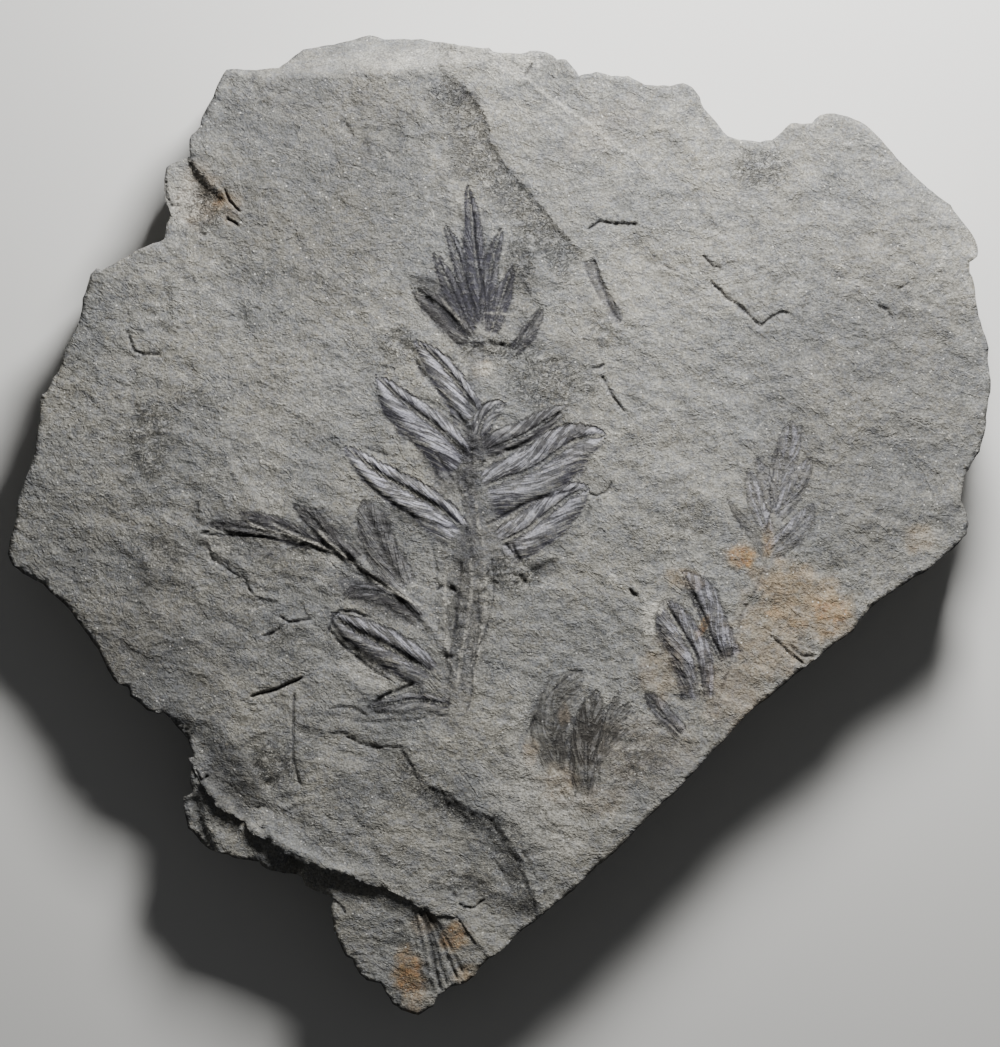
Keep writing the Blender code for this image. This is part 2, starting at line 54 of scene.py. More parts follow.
def smoothPath(points, parts=4):
    # a rounded path through the points
    path = place(points)
    ends = np.vstack([2 * path[0] - path[1], path, 2 * path[-1] - path[-2]])
    found = []
    for first, start, end, last in zip(ends, ends[1:], ends[2:], ends[3:]):
        for part in range(parts):
            t = part / parts
            found.append(start + 0.5 * t * (end - first)
                         + t**2 * (first - 2.5 * start + 2 * end - 0.5 * last)
                         + t**3 * (1.5 * (start - end) + 0.5 * (last - first)))
    return np.array(found + [path[-1]])


def ramp(low, high, value):
    share = np.clip((value - low) / (high - low), 0, 1)
    return share * share * (3 - 2 * share)


def nearby(spots, path, reach):
    # numbers of the spots in the box round a path, grown by the reach
    low, high = path.min(axis=0) - reach, path.max(axis=0) + reach
    return np.nonzero(np.all((spots > low) & (spots < high), axis=1))[0]


def beside(spots, path):
    # share of the way along the path, and distance from it, positive on the left of the way
    best = np.full(len(spots), np.inf)
    side = np.zeros(len(spots))
    along = np.zeros(len(spots))
    lengths = np.linalg.norm(np.diff(path, axis=0), axis=1)
    startAt = np.concatenate([[0], np.cumsum(lengths)])
    for start, end, length, soFar in zip(path, path[1:], lengths, startAt):
        way = (end - start) / length
        offset = spots - start
        run = np.clip(offset @ way, 0, length)
        gap = np.linalg.norm(offset - run[:, None] * way, axis=1)
        turn = way[0] * offset[:, 1] - way[1] * offset[:, 0]
        nearer = gap < best - 1e-9
        best = np.where(nearer, gap, best)
        side = np.where(nearer, np.where(turn < 0, -gap, gap), side)
        along = np.where(nearer, (soFar + run) / startAt[-1], along)
    return along, side


def moved(path, distance):
    # the path moved to its right
    ways = np.gradient(path, axis=0)
    ways /= np.linalg.norm(ways, axis=1)[:, None]
    return path + distance * np.stack([ways[:, 1], -ways[:, 0]], axis=1)


def rough(spots, size, detail, seed, turn=0.0, stretch=1.0):
    # seeded lumps, about -1 to 1, stretched along a direction given in degrees
    angle = np.radians(turn)
    u = (spots[:, 0] * np.cos(angle) + spots[:, 1] * np.sin(angle)) / (size * stretch)
    v = (spots[:, 1] * np.cos(angle) - spots[:, 0] * np.sin(angle)) / size
    return np.array([noise.fractal((a, b, seed), 1.0, 2.0, detail) for a, b in zip(u, v)])


# the long ledge across the face, whose upper right side is the higher one, and the scarp under the
# main frond
ledge = ((596, 262), (578, 250), (561, 231), (546, 213), (531, 194), (508, 169), (493, 147), (485, 130),
         (488, 123), (479, 105), (468, 92), (446, 73), (436, 64))
scarp = ((548, 912), (536, 902), (529, 884), (520, 862), (507, 838), (493, 818), (471, 811), (447, 797),
         (425, 784), (410, 762), (398, 743))

slab = {
    "faceLevel": 13.9 * mm,
    "coarse": 0.72 * mm,      # spacing of the points on plain stone
    "crumpledSpacing": 0.52 * mm,
    "shallow": 0.085 * mm,    # crumples below this height need no finer points
    "medium": 0.44 * mm,      # on crumpled stone and along edges
    "fine": 0.27 * mm,        # on the fern
    "thinnest": 0.14 * mm,    # half width of the thinnest crack
    "finest": 0.19 * mm,      # along cracks
    "dice": 2.9 * mm,
    "rimSpacing": 0.7 * mm,
    "breakRun": 0.30 * mm,    # plan width of the broken lower edge
    "undercut": 1.4 * mm,
    "sideRings": 14,
    # share of the height, and how far the side leans in there
    "sideLean": ((0.0, 3.4 * mm), (0.16, 1.1 * mm), (0.40, 0.35 * mm), (0.66, 0.7 * mm),
                 (0.90, 0.15 * mm), (1.0, 0.0)),
    "outline": (
        (226, 69), (278, 67), (302, 46), (332, 41), (368, 31), (384, 36), (422, 36), (460, 46),
        (489, 48), (493, 52), (521, 54), (530, 51), (538, 51), (547, 53), (557, 60), (566, 60),
        (579, 76), (596, 72), (617, 76), (628, 76), (645, 85), (670, 86), (683, 83), (692, 87),
        (700, 97), (704, 108), (728, 136), (740, 140), (760, 142), (772, 140), (791, 123),
        (812, 123), (820, 115), (834, 113), (848, 116), (860, 121), (870, 128), (916, 176),
        (952, 204), (974, 234), (979, 246), (978, 256), (970, 262), (970, 272), (974, 282),
        (978, 310), (989, 348), (988, 358), (991, 380), (986, 428), (980, 452), (966, 474),
        (961, 499), (969, 524), (967, 534), (952, 550), (928, 570), (897, 588), (880, 600),
        (859, 621), (853, 631), (791, 678), (742, 720), (680, 787), (646, 819), (614, 853),
        (597, 866), (574, 890), (520, 933), (505, 948), (495, 956), (489, 959), (480, 968),
        (476, 976), (467, 983), (450, 988), (440, 996), (433, 1008), (418, 1017), (401, 1012),
        (392, 1006), (380, 985), (366, 982), (359, 976), (352, 961), (345, 958), (333, 932),
        (330, 910), (333, 900), (304, 888), (300, 881), (265, 870), (258, 863), (236, 860),
        (227, 856), (215, 854), (203, 848), (186, 830), (181, 806), (182, 798), (191, 794),
        (188, 784), (190, 766), (187, 759), (193, 758), (186, 740), (162, 713), (158, 715),
        (145, 711), (128, 697), (126, 688), (115, 684), (109, 676), (96, 650), (70, 614),
        (40, 584), (20, 574), (10, 566), (5, 554), (7, 540), (14, 518), (14, 508), (17, 496),
        (33, 452), (38, 418), (38, 402), (40, 394), (46, 391), (51, 378), (60, 364), (62, 354),
        (76, 326), (80, 314), (82, 298), (90, 274), (96, 268), (102, 270), (136, 250), (164, 239),
        (166, 224), (170, 214), (166, 204), (164, 192), (166, 167), (190, 156), (189, 140),
        (191, 135), (200, 126), (204, 112),
    ),
    # the upper bed breaks off along this edge, over the flakes and the pointed tab
    "lowerEdge": (
        (187, 759), (194, 773), (200, 781), (210, 798), (217, 810), (232, 815), (244, 822),
        (249, 833), (270, 841), (282, 852), (311, 865), (328, 870), (353, 876), (362, 883),
        (382, 887), (410, 901), (432, 914), (458, 916), (471, 934), (480, 946), (495, 956),
    ),
    "lowerEdgeFoot": ((190, 766), (489, 959)),
    # x along the edge, how far the lower bed lies under it there, and how it falls away
    "lowerBeds": (
        (186, 0.35 * mm, 0.10), (238, 0.40 * mm, 0.08), (268, 0.55 * mm, 0.10), (282, 0.9 * mm, 0.2),
        (292, 2.8 * mm, 0.3), (306, 2.0 * mm, 0.1), (320, 1.1 * mm, 0.02), (336, 0.75 * mm, 0.02),
        (396, 0.55 * mm, 0.02), (412, 0.36 * mm, 0.02), (440, 0.22 * mm, 0.03), (490, 0.2 * mm, 0.04),
    ),
    # bevelled sides that show from above: the line, and the drop
    "bevels": (
        (((215, 76), (228, 73), (264, 76), (339, 76), (360, 72), (396, 71), (428, 68), (447, 62),
          (466, 42)), 5.2 * mm),
        (((880, 150), (903, 178), (930, 205), (952, 226), (972, 262)), 2.6 * mm),
    ),
    # steps in the bedding: the line, the drop on its right (below 0 on its left), the run of the
    # broken side and how far the low side takes to rise again, all in mm
    "steps": (
        (ledge, -0.14, 0.45, 26),
        (((650, 166), (638, 161), (611, 146), (589, 124), (553, 101), (523, 80)), 0.13, 0.3, 6),
        (((700, 225), (681, 201), (660, 178), (640, 162)), 0.10, 0.9, 6),
        (((187, 138), (191, 158), (197, 172), (207, 184), (228, 200)), 0.62, 0.4, 9),
        (((197, 795), (200, 815), (208, 838), (220, 860)), 0.5, 0.4, 5),
        (((679, 272), (664, 265), (655, 252), (645, 240), (632, 235), (602, 246)), -0.16, 0.9, 5),
        (scarp[:9], -0.30, 2.6, 16), (scarp[6:], -0.15, 1.0, 8),
        (((541, 905), (520, 902), (495, 893), (477, 876), (462, 868)), -0.30, 1.6, 6),
        (((530, 900), (516, 876), (503, 848), (488, 828), (462, 814), (440, 800)), -0.12, 0.5, 4),
        (((400, 743), (386, 749), (372, 741), (347, 731), (323, 731), (293, 724)), -0.25, 0.7, 6),
        (((172, 320), (172, 300), (168, 286)), -0.3, 0.5, 7),
        (((388, 585), (358, 570), (337, 553), (316, 547), (274, 541), (232, 536), (198, 534)),
         -0.18, 0.45, 5),
        (((515, 576), (535, 566), (556, 556)), 0.4, 0.6, 4),
        (((518, 351), (496, 345), (470, 343), (455, 344)), -0.2, 0.5, 3),
        (((200, 528), (198, 500), (206, 482), (222, 476), (228, 500)), -0.14, 0.4, 6),
        (((222, 476), (224, 450), (218, 420), (214, 398)), -0.15, 0.9, 10),
        (((310, 805), (300, 800), (285, 812), (268, 808), (272, 822)), -0.25, 0.4, 5),
        (((237, 745), (246, 757), (252, 775), (265, 795), (262, 812), (272, 822)), -0.45, 0.6, 8),
        (((589, 494), (606, 492), (613, 464), (609, 449)), 0.10, 0.3, 3),
        (((246, 589), (253, 597), (278, 603)), 0.2, 0.4, 4),
        (((203, 540), (212, 556), (232, 562)), 0.2, 0.4, 4),
        (((316, 667), (341, 669), (363, 682), (392, 690)), -0.3, 0.6, 4),
        (((96, 268), (112, 300), (126, 329), (120, 380), (132, 430)), -0.10, 1.2, 8),
        (((940, 235), (930, 262), (950, 300), (944, 350)), 0.12, 1.2, 8),
    ),
    # gentle swells on the left of a line: its height and how far it reaches, in mm
    "swells": (
        (scarp[7::-1], 0.20, 9.0), (ledge[::-1], 0.12, 8.0),
        (((160, 580), (148, 562), (138, 540)), 0.25, 3.0),
        (((290, 560), (262, 510), (236, 470), (222, 430)), 0.35, 7.0),
        (((262, 492), (250, 500), (240, 528)), 0.10, 1.6), (((206, 522), (200, 500), (212, 478), (228, 474)), 0.12, 2.0),
        (((375, 886), (345, 872), (320, 862), (300, 850), (262, 832), (240, 822), (225, 806),
          (205, 785), (188, 760)), 0.5, 2.6),
        (((740, 480), (700, 470), (640, 480)), 0.2, 6.0),
    ),
    # broken stone on the left of a line: its width in mm, how crumpled it is and how dark, the dark
    # being painted shade on the low side of the step
    "scuffsAndShade": (
        (ledge, 6.0, 0.7, 0.20), (((492, 138), (486, 120), (477, 103), (467, 91), (455, 79)), 2.4, 1.0, 0.30), (scarp, 3.0, 0.9, 0.06),
        (((541, 905), (520, 902), (495, 893), (477, 876), (462, 868)), 2.4, 0.6, 0.25),
        (((680, 272), (664, 265), (655, 252), (645, 240), (636, 232)), 2.2, 0.3, 0.16),
    ),
    # patches of crumpled stone: middle, half size, height and size of the crumples, and for some
    # the turn in degrees and the stretch
    "crumpled": (
        ((466, 610), (40, 116), 0.15 * mm, 0.9 * mm, 84, 3.5), ((465, 610), (48, 90), 0.07 * mm, 1.3 * mm),
        ((502, 850), (44, 64), 0.12 * mm, 0.9 * mm, -52, 3.5), ((440, 792), (36, 34), 0.10 * mm, 0.8 * mm, -45, 3.0),
        ((545, 382), (68, 48), 0.17 * mm, 1.4 * mm),
        ((470, 172), (45, 16), 0.14 * mm, 0.9 * mm), ((520, 262), (26, 44), 0.20 * mm, 0.9 * mm),
        ((426, 288), (22, 15), 0.14 * mm, 0.8 * mm),
        ((400, 345), (36, 30), 0.18 * mm, 1.2 * mm), ((500, 350), (70, 22), 0.20 * mm, 1.1 * mm),
        ((510, 575), (44, 30), 0.22 * mm, 1.2 * mm), ((470, 470), (22, 60), 0.16 * mm, 1.1 * mm),
        ((590, 460), (28, 60), 0.09 * mm, 1.2 * mm), ((400, 520), (40, 40), 0.12 * mm, 1.2 * mm),
        ((148, 440), (34, 62), 0.24 * mm, 2.2 * mm), ((190, 392), (24, 16), 0.20 * mm, 1.8 * mm),
        ((155, 560), (40, 50), 0.16 * mm, 2.4 * mm), ((285, 575), (60, 34), 0.13 * mm, 1.7 * mm),
        ((285, 640), (45, 34), 0.13 * mm, 1.6 * mm), ((350, 140), (26, 60), 0.10 * mm, 1.4 * mm),
        ((600, 330), (22, 40), 0.14 * mm, 1.2 * mm), ((585, 385), (30, 30), 0.13 * mm, 1.2 * mm),
        ((205, 210), (30, 36), 0.20 * mm, 1.8 * mm), ((270, 770), (34, 40), 0.22 * mm, 1.9 * mm),
        ((400, 790), (110, 50), 0.12 * mm, 1.9 * mm), ((350, 690), (40, 20), 0.08 * mm, 1.6 * mm),
        ((525, 720), (20, 40), 0.10 * mm, 1.2 * mm), ((640, 760), (60, 50), 0.13 * mm, 2.2 * mm),
        ((690, 520), (40, 50), 0.12 * mm, 1.6 * mm), ((790, 590), (60, 40), 0.10 * mm, 1.5 * mm),
        ((760, 170), (50, 34), 0.16 * mm, 2.6 * mm), ((680, 420), (90, 70), 0.08 * mm, 2.0 * mm),
        ((360, 850), (110, 34), 0.09 * mm, 1.4 * mm), ((420, 950), (60, 50), 0.10 * mm, 1.6 * mm),
        ((140, 470), (150, 260), 0.07 * mm, 2.0 * mm), ((330, 640), (170, 200), 0.07 * mm, 1.9 * mm),
        ((480, 840), (150, 110), 0.08 * mm, 1.8 * mm), ((640, 620), (170, 150), 0.06 * mm, 1.8 * mm),
        ((820, 420), (130, 150), 0.05 * mm, 1.8 * mm), ((330, 180), (150, 120), 0.04 * mm, 2.0 * mm),
    ),
}


# A leaflet is its midrib from tip to base, the width of the blade on its left and right, the height
# of its vaults in mm, how dark its film is, its gloss and painted sheen, and its brownness; the film
# is drawn darker on the half turned from the light, as painted shade.
fern = {
    "veinLean": 0.27,          # slope of a side vein from the midrib
    "veinWidth": 0.42 * mm,    # from one side vein to the next, across
    "veinHeight": 0.040 * mm,
    "midribDepth": 0.11 * mm,
    "midribHalf": 0.31 * mm,
    "bandHalf": 0.60 * mm,     # the dark film along a midrib
    # how dark the margin of a leaflet is drawn (carbon, and painted shade strongest on the half turned
    # from the light), how wide its wider half still is at the base, how blunt its tip is, how strong its
    # midrib and its veins show (relief, and painted shade in their grooves) and how far the painted sheen
    # reaches on the shaded half
    "forms": {
        "apex": (0.40, 0.8, 2.0, 0.9, 0.35, 0.50), "left": (0.32, 1.25, 1.7, 1.0, 1.0, 0.66),
        "lowerLeft": (0.35, 1.0, 1.9, 1.1, 0.8, 0.42), "right": (0.10, 1.1, 2.4, 0.9, 1.0, 0.66),
        "pinna": (0.28, 0.9, 4.0, 0.3, 0.45, 0.50), "sprig": (0.35, 0.7, 2.6, 0.5, 0.22, 0.50),
        "lowerRight": (0.60, 0.95, 3.6, 0.9, 0.35, 0.60), "fan": (0.25, 0.7, 3.4, 0.3, 0.7, 0.50),
    },
    "apex": (
        (((467, 184), (472, 213), (475, 250), (481, 290), (485, 326)), 10, 12, 0.12, 0.76, 0.16, 0.0),
        (((443, 222), (452, 240), (460, 262), (468, 290), (478, 326)), 8, 9, 0.12, 0.74, 0.14, 0.0),
        (((434, 252), (446, 278), (456, 300), (466, 322), (474, 334)), 9, 10, 0.14, 0.82, 0.10, 0.1),
        (((411, 288), (430, 299), (448, 314), (462, 330), (472, 340)), 10, 17, 0.20, 0.88, 0.04, 0.6),
        (((502, 228), (495, 252), (490, 280), (487, 318)), 8, 9, 0.12, 0.74, 0.14, 0.0),
        (((513, 266), (505, 288), (498, 308), (490, 334)), 10, 8, 0.14, 0.84, 0.10, 0.1),
        (((543, 306), (531, 324), (522, 338), (512, 350)), 11, 5, 0.16, 0.66, 0.04, 0.3),
    ),
    "left": (
        (((414, 340), (431, 352), (448, 370), (464, 391), (480, 414)), 9, 23, 0.24, 0.44, 0.77, 0.0),
        (((376, 375), (385, 383), (400, 398), (419, 413), (434, 424), (450, 438), (470, 458)), 13, 31, 0.26, 0.56, 0.66, 0.15),
        (((342, 446), (350, 450), (367, 463), (385, 476), (404, 487), (422, 497), (441, 509),
          (465, 530)), 13, 25, 0.26, 0.46, 0.81, 0.0),
    ),
    "lowerLeft": (
        (((331, 612), (345, 624), (379, 642), (405, 656), (434, 674)), 18, 22, 0.26, 0.60, 0.54,
         0.2),
        (((338, 602), (352, 592), (379, 592), (404, 604), (424, 620)), 9, 12, 0.14, 0.50, 0.3, 0.6),
        (((366, 708), (392, 703), (420, 700), (452, 706)), 8, 12, 0.16, 0.28, 0.3, 0.3),
    ),
    "right": (
        (((506, 404), (494, 408), (484, 418), (477, 436)), 12, 10, 0.18, 0.42, 0.24, 0.1),
        (((570, 406), (548, 420), (526, 434), (484, 452)), 9, 15, 0.18, 0.58, 0.16, 0.5),
        (((606, 434), (574, 441), (543, 463), (526, 472), (507, 478), (482, 488)), 34, 24, 0.22, 0.41, 0.48, 0.1),
        (((590, 486), (570, 496), (543, 517), (526, 530), (499, 543)), 27, 20, 0.22, 0.41, 0.46, 0.1),
    ),
    "pinna": (
        (((206, 524), (232, 526), (262, 531), (290, 538), (312, 546)), 7, 7, 0.14, 0.80, 0.04, 0.5),
        (((237, 513), (262, 519), (285, 527), (305, 537), (325, 546)), 7, 6, 0.14, 0.80, 0.04, 0.4),
        (((293, 505), (309, 516), (322, 530), (338, 545), (356, 563)), 9, 8, 0.18, 0.82, 0.04, 0.6),
        (((363, 500), (371, 522), (380, 545), (392, 568), (404, 590)), 17, 17, 0.12, 0.56, 0.08, 0.5),
    ),
    "sprig": (
        (((791, 421), (789, 444), (784, 464), (778, 490)), 13, 13, 0.10, 0.36, 0.46, 0.0),
        (((811, 457), (802, 475), (791, 494), (775, 518)), 11, 11, 0.12, 0.32, 0.46, 0.0),
        (((748, 469), (753, 491), (760, 513), (768, 536)), 10, 9, 0.10, 0.29, 0.46, 0.0),
        (((757, 458), (764, 474), (770, 490), (774, 512)), 7, 9, 0.12, 0.36, 0.36, 0.0),
        (((813, 504), (804, 520), (791, 535), (768, 553)), 12, 12, 0.12, 0.34, 0.44, 0.0),
        (((727, 499), (742, 520), (756, 540), (766, 558)), 5, 5, 0.06, 0.40, 0.08, 0.7),
    ),
    "lowerRight": (
        (((681, 572), (691, 592), (702, 615), (711, 640), (724, 664)), 24, 3, 0.20, 0.64, 0.42, 0.0),
        (((663, 599), (673, 617), (684, 636), (696, 660), (703, 700)), 18, 24, 0.22, 0.64, 0.44, 0.0),
        (((645, 693), (654, 705), (666, 720), (681, 736)), 11, 6, 0.14, 0.60, 0.18, 0.1),
    ),
    "fan": (
        (((582, 671), (560, 697), (550, 734), (562, 776)), 17, 21, 0.08, 0.39, 0.04, 0.9),
        (((632, 702), (620, 716), (607, 738), (598, 757)), 7, 7, 0.10, 0.46, 0.04, 0.8),
        (((628, 729), (616, 738), (605, 750), (597, 764)), 5, 5, 0.08, 0.42, 0.04, 0.8),
        (((617, 693), (612, 712), (605, 732), (599, 750)), 6, 5, 0.10, 0.55, 0.04, 0.8),
        (((597, 690), (591, 716), (586, 746), (587, 800)), 15, 16, 0.14, 0.62, 0.06, 0.9),
    ),
    # stems: the line, the height in mm, the half width in steps and how dark they are
    "stems": (
        (((480, 330), (474, 380), (471, 455), (470, 530)), 0.10, 8, 0.35),
        (((470, 530), (468, 600), (462, 660), (455, 720)), 0.10, 16, 0.20),
        (((316, 534), (345, 549), (370, 570), (405, 597), (450, 652)), 0.30, 5, 0.05),
        (((588, 260), (595, 278), (605, 298), (616, 318)), -0.14, 7, 0.50),
    ),
}
